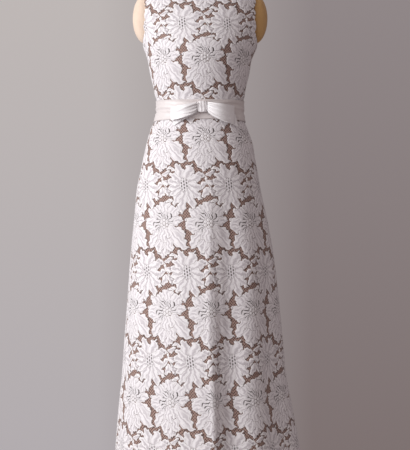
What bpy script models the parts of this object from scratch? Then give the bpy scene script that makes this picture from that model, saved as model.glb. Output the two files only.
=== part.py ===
"""Wedding dress of floral lace over a taupe lining, with a ribbon sash and bow, on a limbless dress form.

Metres, +Z up. X runs to the viewer's right and the dress faces -Y. The origin is on the floor under the pole.
Cloth is a thin wall built from a lattice of points: rows run round the body and columns run up it.
"""

import math
from collections import namedtuple

import bmesh
import bpy
import numpy as np
from mathutils import Matrix, Vector
from mathutils.geometry import delaunay_2d_cdt

# Cloth thicknesses and the clearances between layers
LACE_WALL = 0.0012
LACE_RELIEF = 0.0009
LINING_WALL = 0.0010
LAYER_GAP = 0.0004
SEAM_GAP = 0.0003
RIBBON_WALL = 0.0012
ZIP_TAPE_WALL = 0.0008

# Heights of the garment
HEM_Z = 0.028
WAIST_Z = 1.055
WAIST_SEAM_HALF_GAP = 0.0002
ARMPIT_Z = 1.2374

# Outer surface of the skirt: half-widths to the viewer's left and right, depths to the front and back
Ring = namedtuple("Ring", "z left right front back")
SKIRT_RINGS = (
    Ring(HEM_Z, 0.242, 0.294, 0.250, 0.280),
    Ring(0.126, 0.2366, 0.2765, 0.238, 0.264),
    Ring(0.206, 0.2305, 0.262, 0.229, 0.252),
    Ring(0.285, 0.2225, 0.246, 0.220, 0.240),
    Ring(0.405, 0.2140, 0.2340, 0.203, 0.220),
    Ring(0.525, 0.2050, 0.2220, 0.186, 0.201),
    Ring(0.645, 0.1965, 0.2080, 0.168, 0.180),
    Ring(0.764, 0.1850, 0.1860, 0.148, 0.160),
    Ring(0.844, 0.1770, 0.1690, 0.134, 0.148),
    Ring(0.884, 0.1685, 0.1625, 0.127, 0.140),
    Ring(0.924, 0.1600, 0.1550, 0.119, 0.132),
    Ring(0.964, 0.1510, 0.1485, 0.112, 0.121),
    Ring(1.004, 0.1395, 0.1345, 0.104, 0.108),
    Ring(1.032, 0.1280, 0.1255, 0.097, 0.096),
    Ring(WAIST_Z, 0.1226, 0.1226, 0.092, 0.088),
)

# Outer surface of the bodice. arm_angle is where a row ends, 90 degrees at a side seam and less at an armhole
BodiceRow = namedtuple("BodiceRow", "z left right front back front_angle back_angle")
BODICE_ROWS = (
    BodiceRow(WAIST_Z + WAIST_SEAM_HALF_GAP, 0.1226, 0.1226, 0.0920, 0.0880, 90, 90),
    BodiceRow(1.0835, 0.1236, 0.1236, 0.0962, 0.0905, 90, 90),
    BodiceRow(1.1200, 0.1308, 0.1288, 0.1065, 0.0952, 90, 90),
    BodiceRow(1.1650, 0.1415, 0.1392, 0.1220, 0.1002, 90, 90),
    BodiceRow(1.2050, 0.1485, 0.1465, 0.1325, 0.1045, 90, 90),
    BodiceRow(ARMPIT_Z, 0.1596, 0.1600, 0.1310, 0.1080, 90, 90),
    BodiceRow(1.2620, 0.1660, 0.1655, 0.1250, 0.1110, 72, 70),
    BodiceRow(1.2900, 0.1715, 0.1710, 0.1160, 0.1130, 66.5, 64),
    BodiceRow(1.3200, 0.1735, 0.1730, 0.1060, 0.1120, 64, 62),
    BodiceRow(1.3500, 0.1730, 0.1725, 0.0950, 0.1070, 65, 63),
)
BODICE_HALF_COLUMNS = 6
YOKE_STEPS = 3  # rows from the chest row up to the neckline and the shoulder seam
YOKE_PULL_Y = 0.35  # where the rounding of the shoulder starts, as a share of the way
YOKE_PULL_Z = 0.75
SHOULDER_TIP = Vector((0.163, 0.0, 1.400))
SIDE_NECK = Vector((0.068, 0.004, 1.452))
SIDE_NECK_SHARE = 0.42  # share of the half-width that the neckline takes
FRONT_NECK_Y = -0.068
FRONT_NECK_Z = 1.405
BACK_NECK_Y = 0.066
BACK_NECK_Z = 1.448
SHOULDER_GAP = 0.0006

# Crests and hollows of the skirt: angle from the front centre at the hip and at the hem, and reach outwards
FOLD_START_Z = 0.90
FOLD_EASE = 1.6
Fold = namedtuple("Fold", "name hip hem out")
FOLDS = (
    Fold("left_seam", -90, -90, 0.0),
    Fold("left_ridge", -64, -50, 0.006),
    Fold("left_hollow", -38, -26, -0.008),
    Fold("centre_flat", -12, -8, 0.001),
    Fold("front_ridge", 9.5, 7.7, 0.011),
    Fold("front_hollow", 24, 17, -0.012),
    Fold("right_ridge", 44, 32, 0.009),
    Fold("right_hollow", 61, 54, -0.008),
    Fold("right_flare", 76, 76, 0.005),
    Fold("right_seam", 90, 90, 0.0),
    Fold("back_right_ridge_1", 103, 104, 0.006),
    Fold("back_right_hollow_1", 119, 121, -0.010),
    Fold("back_right_ridge_2", 136, 139, 0.012),
    Fold("back_right_hollow_2", 152, 154, -0.010),
    Fold("back_right_ridge_3", 166, 168, 0.007),
    Fold("centre_back", 180, 180, -0.004),
    Fold("back_left_ridge_1", 195, 193, 0.009),
    Fold("back_left_hollow_1", 209, 208, -0.011),
    Fold("back_left_ridge_2", 226, 225, 0.011),
    Fold("back_left_hollow_2", 244, 243, -0.008),
    Fold("back_left_ridge_3", 258, 258, 0.005),
    Fold("left_seam_again", 270, 270, 0.0),
)
MOST_COLUMN_STEP = 17.0  # degrees at the hem
SKIRT_ROW_Z = (HEM_Z, 0.170, 0.350, 0.520, 0.680, 0.800, 0.884, 0.950, 1.004, 1.032)
SKIRT_TOP_Z = WAIST_Z - WAIST_SEAM_HALF_GAP

# Lace flowers, in the flat cloth: half-width, half-height, lobes and how deep the notches cut
Motif = namedtuple("Motif", "half_width half_height lobes notch turn")
BLOOM = Motif(0.054, 0.075, 6, 0.78, 0.25)
REPEAT_ACROSS = 0.125
REPEAT_UP = 0.240
SKIRT_BLOOM_Z = 0.263
SKIRT_BLOOM_X = 0.0425
SKIRT_GRAIN_LEAN = -0.034  # the cloth's columns lean to the left by this much a metre upwards
BODICE_BLOOM_Z = 1.191
BODICE_BLOOM_X = 0.014
RELIEF_RAMP = 0.0025
LEAST_MOTIF_AREA = 0.0012  # what a seam leaves of a flower is raised if it is larger than this
LEAST_MOTIF_WIDTH = 0.02
MOTIF_EDGE_MARGIN = 0.0045
MOST_TWIST = 0.0006  # where the lattice is bent or twisted more than this, its lines stay edges
SASH_MARGIN = 0.034  # no flower is raised under the sash

# Ribbon sash, its bow and tails
SASH_HALF_HEIGHT = 0.0290
SASH_GAP = 0.0009
SASH_ROWS = 2
SASH_COLUMNS = 44
SASH_FRONT_DIP = 0.004
SASH_BACK_GAP = 0.0006
BOW_Z = 1.0585
BOW_X = 0.0065
KNOT_HALF = Vector((0.0140, 0.0085, 0.0155))
KNOT_CLEARANCE = 0.0005
BOW_GAP = 0.0004
LOOP_STAND_OFF = 0.0064  # room behind a loop for the tail, at the knot
LOOP_OUTER_STAND_OFF = 0.0096  # and at the loop's end, where the tail hangs out over the skirt

BowLoop = namedtuple("BowLoop", "side length outer_top outer_bottom depth sag")
LEFT_LOOP = BowLoop(-1, 0.0865, 0.0000, -0.0370, 0.019, 0.003)
RIGHT_LOOP = BowLoop(1, 0.0880, 0.0045, -0.0480, 0.021, 0.002)
LOOP_KNOT_HALF_HEIGHT = 0.0130
LOOP_SIDE_POINTS = 9
LOOP_ACROSS = 4
BowTail = namedtuple("BowTail", "side tip_x tip_top tip_bottom slant")
LEFT_TAIL = BowTail(-1, -0.081, -0.012, -0.0530, -0.009)
RIGHT_TAIL = BowTail(1, 0.0985, -0.0175, -0.0520, 0.008)
TAIL_POINTS = 7
TAIL_ACROSS = 3
TAIL_KNOT_HALF_HEIGHT = 0.008
TAIL_DROP = 0.009  # how far below the bow's middle a tail leaves the knot
TAIL_STAND_OFF = 0.0016

# Centre-back zip
ZIP_TOP_Z = 1.438
ZIP_BOTTOM_Z = 0.880
ZIP_TAPE_WIDTH = 0.012
ZIP_TAPE_GAP = 0.0010
ZIP_TAPE_CLEARANCE = 0.0010
SLIDER_Z = 1.424
SLIDER_GAP = 0.0004
SLIDER_SIZE = Vector((0.0056, 0.0022, 0.0080))
SLIDER_EAR = Vector((0.0010, 0.0046, 0.0044))
PULL_PIN_RADIUS = 0.0006
PULL_EYE_INNER = 0.0010
PULL_EYE_OUTER = 0.0019
PULL_EYE_WIDTH = 0.0024
PULL_NECK = 0.0040
PULL_LAP = 0.0003
PULL_LENGTH = 0.022
PULL_REST_TILT = 6.0  # degrees in from parallel, so that its end rests by the cloth
PULL_WIDTH = 0.0046
PULL_THICKNESS = 0.0010

# Dress form: rings of the torso, then the stand
FORM_SIDE_X = 0.1520  # the flat face at each armhole
FormRing = namedtuple("FormRing", "z half front back")
FORM_RINGS = (
    FormRing(0.800, 0.1540, 0.0960, 0.1080),
    FormRing(0.806, 0.1600, 0.1020, 0.1150),
    FormRing(0.850, 0.1570, 0.1050, 0.1190),
    FormRing(0.900, 0.1495, 0.1015, 0.1140),
    FormRing(0.950, 0.1405, 0.0960, 0.1060),
    FormRing(1.004, 0.1260, 0.0905, 0.0940),
    FormRing(1.032, 0.1170, 0.0865, 0.0850),
    FormRing(1.055, 0.1150, 0.0845, 0.0795),
    FormRing(1.0835, 0.1160, 0.0885, 0.0820),
    FormRing(1.120, 0.1210, 0.0975, 0.0870),
    FormRing(1.165, 0.1310, 0.1125, 0.0920),
    FormRing(1.205, 0.1395, 0.1235, 0.0965),
    FormRing(1.2374, 0.1510, 0.1225, 0.0995),
    FormRing(1.290, 0.1620, 0.1075, 0.1035),
    FormRing(1.350, 0.1640, 0.0850, 0.0970),
    FormRing(1.3743, 0.1560, 0.0670, 0.0810),
    FormRing(1.3899, 0.1460, 0.0540, 0.0660),
    FormRing(1.4099, 0.1130, 0.0460, 0.0560),
    FormRing(1.4239, 0.0800, 0.0420, 0.0520),
    FormRing(1.4399, 0.0580, 0.0440, 0.0510),
    FormRing(1.500, 0.0530, 0.0470, 0.0500),
)
FORM_COLUMNS = 28
ARM_CAP_FACE_X = 0.1525
ARM_CAP_CENTRE_Z = 1.320
ARM_CAP_BULGE = 0.0395
ARM_CAP_HALF_DEPTH = 0.0380
ARM_CAP_HALF_HEIGHT = 0.0715
NECK_CAP_BULGE = 0.022
STAND_GAP = 0.0003
POLE_RADIUS = 0.0125
COLLAR_RADIUS = 0.036
COLLAR_HEIGHT = 0.026
BASE_RADIUS = 0.165
BASE_HEIGHT = 0.018
HUB_RADIUS = 0.030
HUB_HEIGHT = 0.045
TURNED_STEPS = 32

LACE_WHITE = (0.90, 0.89, 0.88)
TAUPE = (0.42, 0.29, 0.22)
SATIN_WHITE = (0.93, 0.92, 0.92)
LINEN = (0.84, 0.76, 0.62)
IVORY_METAL = (0.86, 0.84, 0.80)
ZIP_METAL = (0.80, 0.79, 0.77)

Lattice = namedtuple("Lattice", "points normals across up")


def clear_scene():
    for old in list(bpy.data.objects):
        bpy.data.objects.remove(old, do_unlink=True)


def new_collection(name):
    collection = bpy.data.collections.new(name)
    bpy.context.scene.collection.children.link(collection)
    return collection


def finish_object(name, mesh, colour, collection, roughness=0.7, metallic=0.0):
    """Makes the object of one piece, with its own material and soft shading."""
    material = bpy.data.materials.new(name)
    material.use_nodes = True
    shader = material.node_tree.nodes["Principled BSDF"]
    shader.inputs["Base Color"].default_value = (*colour, 1.0)
    shader.inputs["Roughness"].default_value = roughness
    shader.inputs["Metallic"].default_value = metallic
    mesh.materials.append(material)
    mesh.shade_smooth()
    mesh.set_sharp_from_angle(angle=math.radians(40))
    piece = bpy.data.objects.new(name, mesh)
    collection.objects.link(piece)
    return piece


def mesh_of(name, points, faces):
    mesh = bpy.data.meshes.new(name)
    mesh.from_pydata([tuple(map(float, point)) for point in points], [], faces)
    mesh.validate()
    return mesh


def mesh_from_bmesh(name, shape):
    mesh = bpy.data.meshes.new(name)
    shape.to_mesh(mesh)
    shape.free()
    return mesh


def smooth_curve(known, values, wanted):
    """A cubic through a column of a table, so that rings flow into each other."""
    order = np.argsort(known)
    known = np.asarray(known, float)[order]
    values = np.asarray(values, float)[order]
    slopes = np.gradient(values, known)
    place = np.clip(np.searchsorted(known, wanted) - 1, 0, len(known) - 2)
    step = known[place + 1] - known[place]
    share = np.clip((wanted - known[place]) / step, 0.0, 1.0)
    low = values[place] * (1 + 2 * share) * (1 - share) ** 2
    high = values[place + 1] * share**2 * (3 - 2 * share)
    lean = slopes[place] * step * share * (1 - share) ** 2
    fall = slopes[place + 1] * step * share**2 * (share - 1)
    return low + high + lean + fall


def ring_point(left, right, front, back, angle):
    """A point of a ring of four quarter ellipses. Angle 0 is the front centre, 90 degrees is to the right."""
    sine, cosine = math.sin(angle), math.cos(angle)
    x = (right if sine > 0 else left) * sine
    y = -(front if cosine > 0 else back) * cosine
    return x, y


def lattice_normals(points, closed):
    """Outward normals of a lattice of rows going up and columns going round."""
    if closed:
        ahead = np.roll(points, -1, axis=1) - np.roll(points, 1, axis=1)
    else:
        ahead = np.gradient(points, axis=1)
    upwards = np.gradient(points, axis=0)
    normals = np.cross(ahead, upwards)
    return normals / np.linalg.norm(normals, axis=2, keepdims=True)


def flat_lengths(points):
    """How far each lattice point lies across and up the flat cloth, across from the middle, where X is 0."""
    steps = np.linalg.norm(np.diff(points, axis=1), axis=2)
    across = np.concatenate([np.zeros((len(points), 1)), np.cumsum(steps, axis=1)], axis=1)
    way = 1 if points[0, -1, 0] > points[0, 0, 0] else -1
    middles = [np.interp(0.0, row[::way], lengths[::way]) for row, lengths in zip(points[:, :, 0], across)]
    across -= np.array(middles)[:, None]
    rises = np.linalg.norm(np.diff(points, axis=0), axis=2).mean(axis=1)
    up = points[0, :, 2].mean() + np.concatenate([[0.0], np.cumsum(rises)])
    return across, up


def skirt_columns():
    """Each column's angle at the hip and at the hem and its reach, with columns between the fold lines."""
    columns = []
    for first, second in zip(FOLDS, FOLDS[1:]):
        parts = math.ceil((second.hem - first.hem) / MOST_COLUMN_STEP)
        for part in range(parts):
            share = part / parts
            ease = (1 - math.cos(math.pi * share)) / 2
            columns.append((
                first.name if part == 0 else "",
                math.radians(first.hip + (second.hip - first.hip) * share),
                math.radians(first.hem + (second.hem - first.hem) * share),
                first.out + (second.out - first.out) * ease,
            ))
    return columns


def skirt_lattice(columns):
    """The whole outer surface of the skirt as one closed lattice, before it is parted at the seams."""
    table_z = [ring.z for ring in SKIRT_RINGS]
    rows_z = np.array(SKIRT_ROW_Z + (SKIRT_TOP_Z,))
    sizes = [smooth_curve(table_z, [getattr(ring, side) for ring in SKIRT_RINGS], rows_z)
             for side in ("left", "right", "front", "back")]
    points = np.zeros((len(rows_z), len(columns), 3))
    for row, z in enumerate(rows_z):
        depth = np.clip((FOLD_START_Z - z) / (FOLD_START_Z - HEM_Z), 0.0, 1.0)
        fade = 1 - (1 - depth) ** FOLD_EASE
        left, right, front, back = (size[row] for size in sizes)
        for column, (_, hip, hem, out) in enumerate(columns):
            angle = hip + (hem - hip) * depth
            x, y = ring_point(left, right, front, back, angle)
            reach = 1 + out * fade / math.hypot(x, y)
            points[row, column] = (x * reach, y * reach, z)
    return points


def part_of_ring(points, normals, first, last):
    """The lattice of one panel, from one seam's column to the next, drawn back from both seams."""
    wanted = np.arange(first, last + 1) % points.shape[1]
    panel = points[:, wanted].copy()
    for edge, inner in ((0, 1), (-1, -2)):
        inwards = panel[:, inner] - panel[:, edge]
        inwards /= np.linalg.norm(inwards, axis=1, keepdims=True)
        panel[:, edge] += inwards * SEAM_GAP / 2
    across, up = flat_lengths(panel)
    return Lattice(panel, normals[:, wanted], across, up)


def yoke_end(share, front):
    """The top edge of a bodice panel at a share of its half-width: the neckline, then the shoulder seam."""
    neck_y, neck_z = (FRONT_NECK_Y, FRONT_NECK_Z) if front else (BACK_NECK_Y, BACK_NECK_Z)
    if share < SIDE_NECK_SHARE:
        angle = share / SIDE_NECK_SHARE * math.pi / 2
        y = SIDE_NECK.y + (neck_y - SIDE_NECK.y) * math.cos(angle)
        z = SIDE_NECK.z + (neck_z - SIDE_NECK.z) * math.cos(angle)
        x = SIDE_NECK.x * math.sin(angle)
    else:
        x, y, z = SIDE_NECK.lerp(SHOULDER_TIP, (share - SIDE_NECK_SHARE) / (1 - SIDE_NECK_SHARE))
    y += -SHOULDER_GAP / 2 if front else SHOULDER_GAP / 2
    return Vector((x, y, z))


def bodice_point(row, share, side, front):
    """A point of one bodice row, at a share of the way from the centre to the side."""
    angle = math.radians(share * (row.front_angle if front else row.back_angle))
    half = row.right if side > 0 else row.left
    depth = -row.front if front else row.back
    return Vector((half * math.sin(angle), depth * math.cos(angle), row.z))


def bodice_half(side, front):
    """Lattice points of half a bodice, columns from the centre to the side, for X of the given sign."""
    shares = [column / BODICE_HALF_COLUMNS for column in range(BODICE_HALF_COLUMNS + 1)]
    rows = [[bodice_point(row, share, side, front) for share in shares] for row in BODICE_ROWS]
    for step in range(1, YOKE_STEPS + 1):
        way = step / YOKE_STEPS
        row = []
        for start, share in zip(rows[len(BODICE_ROWS) - 1], shares):
            end = yoke_end(share, front)
            bend = start.lerp(end, 0.5)
            bend.y = start.y + (end.y - start.y) * YOKE_PULL_Y
            bend.z = start.z + (end.z - start.z) * YOKE_PULL_Z
            row.append(start.lerp(bend, way).lerp(bend.lerp(end, way), way))
        rows.append(row)
    points = np.array([[tuple(point) for point in row] for row in rows])
    points[:, :, 0] *= side
    seam_rows = sum(row.front_angle == 90 for row in BODICE_ROWS)
    points[:seam_rows, -1, 1] += -SEAM_GAP / 2 if front else SEAM_GAP / 2
    return points


def bodice_lattice(points, seam_columns, centre_seam=None):
    """Adds normals, which lie straight out at each seam so that the walls of two panels end side by side."""
    normals = lattice_normals(points, closed=False)
    seam_rows = sum(row.front_angle == 90 for row in BODICE_ROWS)
    for column in seam_columns:
        normals[:seam_rows, column, 1] = 0
    if centre_seam is not None:
        normals[:, centre_seam, 0] = 0
    normals[-1, np.abs(points[-1, :, 0]) > SIDE_NECK.x - 1e-4, 1] = 0
    normals /= np.linalg.norm(normals, axis=2, keepdims=True)
    across, up = flat_lengths(points)
    return Lattice(points, normals, across, up)


def bodice_lattices():
    """The front and the two back panels of the bodice."""
    front = np.concatenate([bodice_half(-1, True)[:, ::-1], bodice_half(1, True)[:, 1:]], axis=1)
    right = bodice_half(1, False)[:, ::-1]
    left = bodice_half(-1, False)
    right[:, -1, 0] += SEAM_GAP / 2
    left[:, 0, 0] -= SEAM_GAP / 2
    last = BODICE_HALF_COLUMNS
    return {
        "bodice_front": bodice_lattice(front, (0, 2 * last)),
        "bodice_back_right": bodice_lattice(right, (0,), last),
        "bodice_back_left": bodice_lattice(left, (last,), 0),
    }


def skirt_lattices():
    """The front and the two back panels of the skirt."""
    columns = skirt_columns()
    points = skirt_lattice(columns)
    normals = lattice_normals(points, closed=True)
    names = [column[0] for column in columns]
    seams = ("left_seam", "right_seam", "centre_back")
    left_seam, right_seam, back_seam = (names.index(seam) for seam in seams)
    return {
        "skirt_front": part_of_ring(points, normals, left_seam, right_seam),
        "skirt_back_right": part_of_ring(points, normals, right_seam, back_seam),
        "skirt_back_left": part_of_ring(points, normals, back_seam, len(columns)),
    }


def grid_faces(rows, columns, first=0, flip=False):
    faces = []
    for row in range(rows - 1):
        for column in range(columns - 1):
            corner = first + row * columns + column
            across = corner + columns + 1
            for face in ((corner, corner + 1, across), (corner, across, across - 1)):
                faces.append(face[::-1] if flip else face)
    return faces


def rim_of(rows, columns):
    """The lattice points round the edge of a panel, in the order that faces out."""
    bottom = list(range(columns))
    right = [row * columns + columns - 1 for row in range(1, rows)]
    top = [(rows - 1) * columns + column for column in range(columns - 2, -1, -1)]
    left = [row * columns for row in range(rows - 2, 0, -1)]
    return bottom + right + top + left


def rim_faces(rim, outer_first, inner_first):
    """The narrow faces that join the two sides of a wall round its edge."""
    faces = []
    for one, two in zip(rim, rim[1:] + rim[:1]):
        faces.append((inner_first + one, inner_first + two, outer_first + two, outer_first + one))
    return faces


def plain_wall(name, lattice, outer_offset, thickness):
    """A cloth panel between two offsets of its lattice."""
    rows, columns = lattice.points.shape[:2]
    outer = (lattice.points + lattice.normals * outer_offset).reshape(-1, 3)
    inner = (lattice.points + lattice.normals * (outer_offset - thickness)).reshape(-1, 3)
    faces = grid_faces(rows, columns)
    faces += grid_faces(rows, columns, first=len(outer), flip=True)
    faces += rim_faces(rim_of(rows, columns), 0, len(outer))
    return mesh_of(name, np.concatenate([outer, inner]), faces)


def motif_outline(motif, shrink):
    """Points round a flower in the flat cloth, about its centre, with a notch between every two lobes."""
    outline = []
    for point in range(2 * motif.lobes):
        angle = (point + motif.turn) * math.pi / motif.lobes
        reach = motif.notch if point % 2 else 1.0
        x = (motif.half_width * reach - shrink) * math.cos(angle)
        y = (motif.half_height * reach - shrink) * math.sin(angle)
        outline.append((x, y))
    return outline


def motif_centres(lattice, bloom_across, bloom_z, lean):
    """Centres of the large flowers on a panel, in columns along the cloth's grain."""
    centres = []
    bloom_up = np.interp(bloom_z, lattice.points[:, 0, 2], lattice.up)
    reach = int(np.abs(lattice.across).max() / REPEAT_ACROSS) + 2
    rise = int((lattice.up[-1] - lattice.up[0]) / REPEAT_UP) + 2
    for row in range(-rise, rise + 1):
        for column in range(-reach, reach + 1):
            up = bloom_up + row * REPEAT_UP
            across = bloom_across + column * REPEAT_ACROSS + lean * (up - bloom_up)
            centres.append((across, up))
    return centres


def to_lattice(lattice, across, up, plan_x, plan_y):
    """Carries a place in the flat cloth into the square plan of a panel's lattice."""
    rows, columns = lattice.across.shape
    row = np.interp(up, lattice.up, np.arange(rows))
    below = min(int(row), rows - 2)
    share = row - below
    here = lattice.across[below] * (1 - share) + lattice.across[below + 1] * share
    column = np.interp(across, here, np.arange(columns))
    return np.interp(column, np.arange(columns), plan_x), np.interp(row, np.arange(rows), plan_y)


def clamp_outline(outline, low, high):
    """An outline held inside a box, without points that fall together. None where too little is left."""
    held = []
    for x, y in outline:
        point = (min(max(x, low[0]), high[0]), min(max(y, low[1]), high[1]))
        if not held or math.dist(point, held[-1]) > 1e-4:
            held.append(point)
    if len(held) > 2 and math.dist(held[0], held[-1]) <= 1e-4:
        held.pop()
    area = sum(a[0] * b[1] - b[0] * a[1] for a, b in zip(held, held[1:] + held[:1])) / 2
    width = min(max(point[axis] for point in held) - min(point[axis] for point in held) for axis in (0, 1))
    return held if abs(area) > LEAST_MOTIF_AREA and width > LEAST_MOTIF_WIDTH else None


def on_or_inside(points, outline):
    """Which points lie inside an outline or on its edge."""
    shape = np.array(outline)
    ends = np.roll(shape, -1, axis=0)
    inside = np.zeros(len(points), bool)
    near = np.full(len(points), np.inf)
    for start, end in zip(shape, ends):
        along = end - start
        crosses = (start[1] > points[:, 1]) != (end[1] > points[:, 1])
        with np.errstate(divide="ignore", invalid="ignore"):
            at = start[0] + (points[:, 1] - start[1]) / along[1] * along[0]
        inside ^= crosses & (points[:, 0] < at)
        share = np.clip(((points - start) @ along) / (along @ along), 0, 1)
        near = np.minimum(near, np.linalg.norm(points - start - share[:, None] * along, axis=1))
    return inside | (near < 1e-5)


def bends(cells):
    """How far each lattice point lies off the line between its neighbours in the rows before and after."""
    before, after = cells[:-2], cells[2:]
    line = after - before
    line /= np.linalg.norm(line, axis=2, keepdims=True)
    away = cells[1:-1] - before
    off = np.linalg.norm(away - line * (away * line).sum(axis=2, keepdims=True), axis=2)
    edge = np.full((1, cells.shape[1]), np.inf)
    return np.concatenate([edge, off, edge])


def lace_wall(name, lattice, bloom_across, bloom_z, lean, up_limits):
    """A lace panel: a plain inside, and an outside whose flowers stand proud of the net."""
    rows, columns = lattice.points.shape[:2]
    plan_x = lattice.across.mean(axis=0) - lattice.across.mean(axis=0)[0]
    plan_y = lattice.up - lattice.up[0]
    corners = [Vector((x, y)) for y in plan_y for x in plan_x]
    cells = lattice.points
    bent_rows = bends(cells).max(axis=1) > MOST_TWIST
    bent_columns = bends(cells.transpose(1, 0, 2)).max(axis=1) > MOST_TWIST
    edges = [(row * columns + column, row * columns + column + 1)
             for row in range(rows) if bent_rows[row] for column in range(columns - 1)]
    edges += [(row * columns + column, (row + 1) * columns + column)
              for column in range(columns) if bent_columns[column] for row in range(rows - 1)]
    twists = np.linalg.norm(cells[:-1, :-1] + cells[1:, 1:] - cells[:-1, 1:] - cells[1:, :-1], axis=2) / 2
    edges += [(row * columns + column, (row + 1) * columns + column + 1)
              for row, column in np.argwhere(twists > MOST_TWIST)]
    low_up = max(up_limits[0] - lattice.up[0], 0.0)
    high_up = min(up_limits[1] - lattice.up[0], plan_y[-1])
    raised = []
    for across, up in motif_centres(lattice, bloom_across, bloom_z, lean):
        loops = []
        for shrink in (0.0, RELIEF_RAMP):
            margin = MOTIF_EDGE_MARGIN + shrink
            outline = [to_lattice(lattice, across + x, up + y, plan_x, plan_y)
                       for x, y in motif_outline(BLOOM, shrink)]
            loops.append(clamp_outline(outline, (margin, low_up + margin),
                                       (plan_x[-1] - margin, high_up - margin)))
        if None in loops:
            continue
        raised.append(loops[1])
        for loop in loops:
            first = len(corners)
            corners += [Vector(point) for point in loop]
            edges += [(first + at, first + (at + 1) % len(loop)) for at in range(len(loop))]
    flat, _, triangles, origins, _, _ = delaunay_2d_cdt(corners, edges, [], 0, 1e-5, True)
    flat = np.array([tuple(point) for point in flat])
    height = np.zeros(len(flat))
    for outline in raised:
        height[on_or_inside(flat, outline)] = LACE_RELIEF
    row = np.interp(flat[:, 1], plan_y, np.arange(rows))
    column = np.interp(flat[:, 0], plan_x, np.arange(columns))
    below = np.minimum(row.astype(int), rows - 2)
    beside = np.minimum(column.astype(int), columns - 2)
    up_share = (row - below)[:, None]
    side_share = (column - beside)[:, None]
    placed = []
    for field in (lattice.points, lattice.normals):
        start, end = field[below, beside], field[below + 1, beside + 1]
        right, left = field[below, beside + 1], field[below + 1, beside]
        under = start + side_share * (right - start) + up_share * (end - right)
        over = start + up_share * (left - start) + side_share * (end - left)
        placed.append(np.where(side_share >= up_share, under, over))
    outer = placed[0] + placed[1] * height[:, None]
    inner = (lattice.points - lattice.normals * LACE_WALL).reshape(-1, 3)
    found = {}
    for index, sources in enumerate(origins):
        for source in sources:
            found[source] = index
    rim = rim_of(rows, columns)
    faces = [tuple(triangle) for triangle in triangles]
    faces += grid_faces(rows, columns, first=len(outer), flip=True)
    for one, two in zip(rim, rim[1:] + rim[:1]):
        faces.append((len(outer) + one, len(outer) + two, found[two], found[one]))
    return mesh_of(name, np.concatenate([outer, inner]), faces)


def add_dress(collection):
    """The lace panels and the taupe lining behind each."""
    lining_offset = -LACE_WALL - LAYER_GAP
    for name, lattice in bodice_lattices().items():
        limits = (WAIST_Z + SASH_MARGIN, 2.0)
        lace = lace_wall(name, lattice, BODICE_BLOOM_X, BODICE_BLOOM_Z, 0.0, limits)
        finish_object(name, lace, LACE_WHITE, collection)
        lining = plain_wall(f"{name}_lining", lattice, lining_offset, LINING_WALL)
        finish_object(f"{name}_lining", lining, TAUPE, collection)
    for name, lattice in skirt_lattices().items():
        top = lattice.up[-1] - SASH_MARGIN
        lace = lace_wall(name, lattice, SKIRT_BLOOM_X, SKIRT_BLOOM_Z, SKIRT_GRAIN_LEAN, (0.0, top))
        finish_object(name, lace, LACE_WHITE, collection)
        lining = plain_wall(f"{name}_lining", lattice, lining_offset, LINING_WALL)
        finish_object(f"{name}_lining", lining, TAUPE, collection)


def waist_ring(z):
    """Half-widths and depths of the dress at a height under the sash."""
    rings = [ring for ring in SKIRT_RINGS if ring.z > SKIRT_ROW_Z[-3]] + list(BODICE_ROWS[1:3])
    return [float(np.interp(z, [ring.z for ring in rings], [getattr(ring, side) for ring in rings]))
            for side in ("left", "right", "front", "back")]


def sash_point(z, angle, offset):
    """A point at a height and angle, moved out from the dress by offset."""
    left, right, front, back = waist_ring(z)
    x, y = ring_point(left + offset, right + offset, front + offset, back + offset, angle)
    return x, y, z


def add_sash(collection):
    """A flat ribbon round the waist, from centre back to centre back."""
    rows = []
    for row in range(SASH_ROWS + 1):
        level = 2 * row / SASH_ROWS - 1
        ring = []
        for column in range(SASH_COLUMNS + 1):
            angle = -math.pi + 2 * math.pi * column / SASH_COLUMNS
            dip = SASH_FRONT_DIP * max(0.0, math.cos(angle)) ** 2
            z = WAIST_Z + level * SASH_HALF_HEIGHT - (dip if level > 0 else 0.0)
            ring.append(sash_point(z, angle, SASH_GAP + RIBBON_WALL))
        rows.append(ring)
    points = np.array(rows)
    points[:, 0, 0] -= SASH_BACK_GAP / 2
    points[:, -1, 0] += SASH_BACK_GAP / 2
    normals = lattice_normals(points, closed=False)
    normals[:, (0, -1), 0] = 0
    normals /= np.linalg.norm(normals, axis=2, keepdims=True)
    across, up = flat_lengths(points)
    wall = plain_wall("sash_band", Lattice(points, normals, across, up), 0.0, RIBBON_WALL)
    finish_object("sash_band", wall, SATIN_WHITE, collection, roughness=0.4)


def front_of_sash(x, z):
    """Y of the sash's outer face, or of the skirt below it, at a place on the front."""
    left, right, front, _ = waist_ring(min(max(z, 0.99), WAIST_Z + SASH_HALF_HEIGHT))
    half = right if x > 0 else left
    reach = SASH_GAP + RIBBON_WALL
    return -(front + reach) * math.sqrt(max(0.0, 1 - (x / (half + reach)) ** 2))


def ribbon_strip(name, path, tops, bottoms, across):
    """A ribbon wall that follows a path in plan, with its own top and bottom edge at each point."""
    path = np.array(path)
    rows = []
    for share in np.linspace(0.0, 1.0, across + 1):
        heights = bottoms + (tops - bottoms) * share
        rows.append(np.column_stack([path, heights]))
    points = np.array(rows)
    across_lengths, up = flat_lengths(points)
    return Lattice(points, lattice_normals(points, closed=False), across_lengths, up)


def loop_edges(loop, out):
    """Heights of a loop's top and bottom edge at a share of the way out from the knot."""
    spread = out**0.7
    top = BOW_Z + LOOP_KNOT_HALF_HEIGHT + (loop.outer_top - LOOP_KNOT_HALF_HEIGHT) * spread
    bottom = BOW_Z - LOOP_KNOT_HALF_HEIGHT + (loop.outer_bottom + LOOP_KNOT_HALF_HEIGHT) * spread
    return top, bottom - loop.sag * math.sin(math.pi * out)


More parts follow.
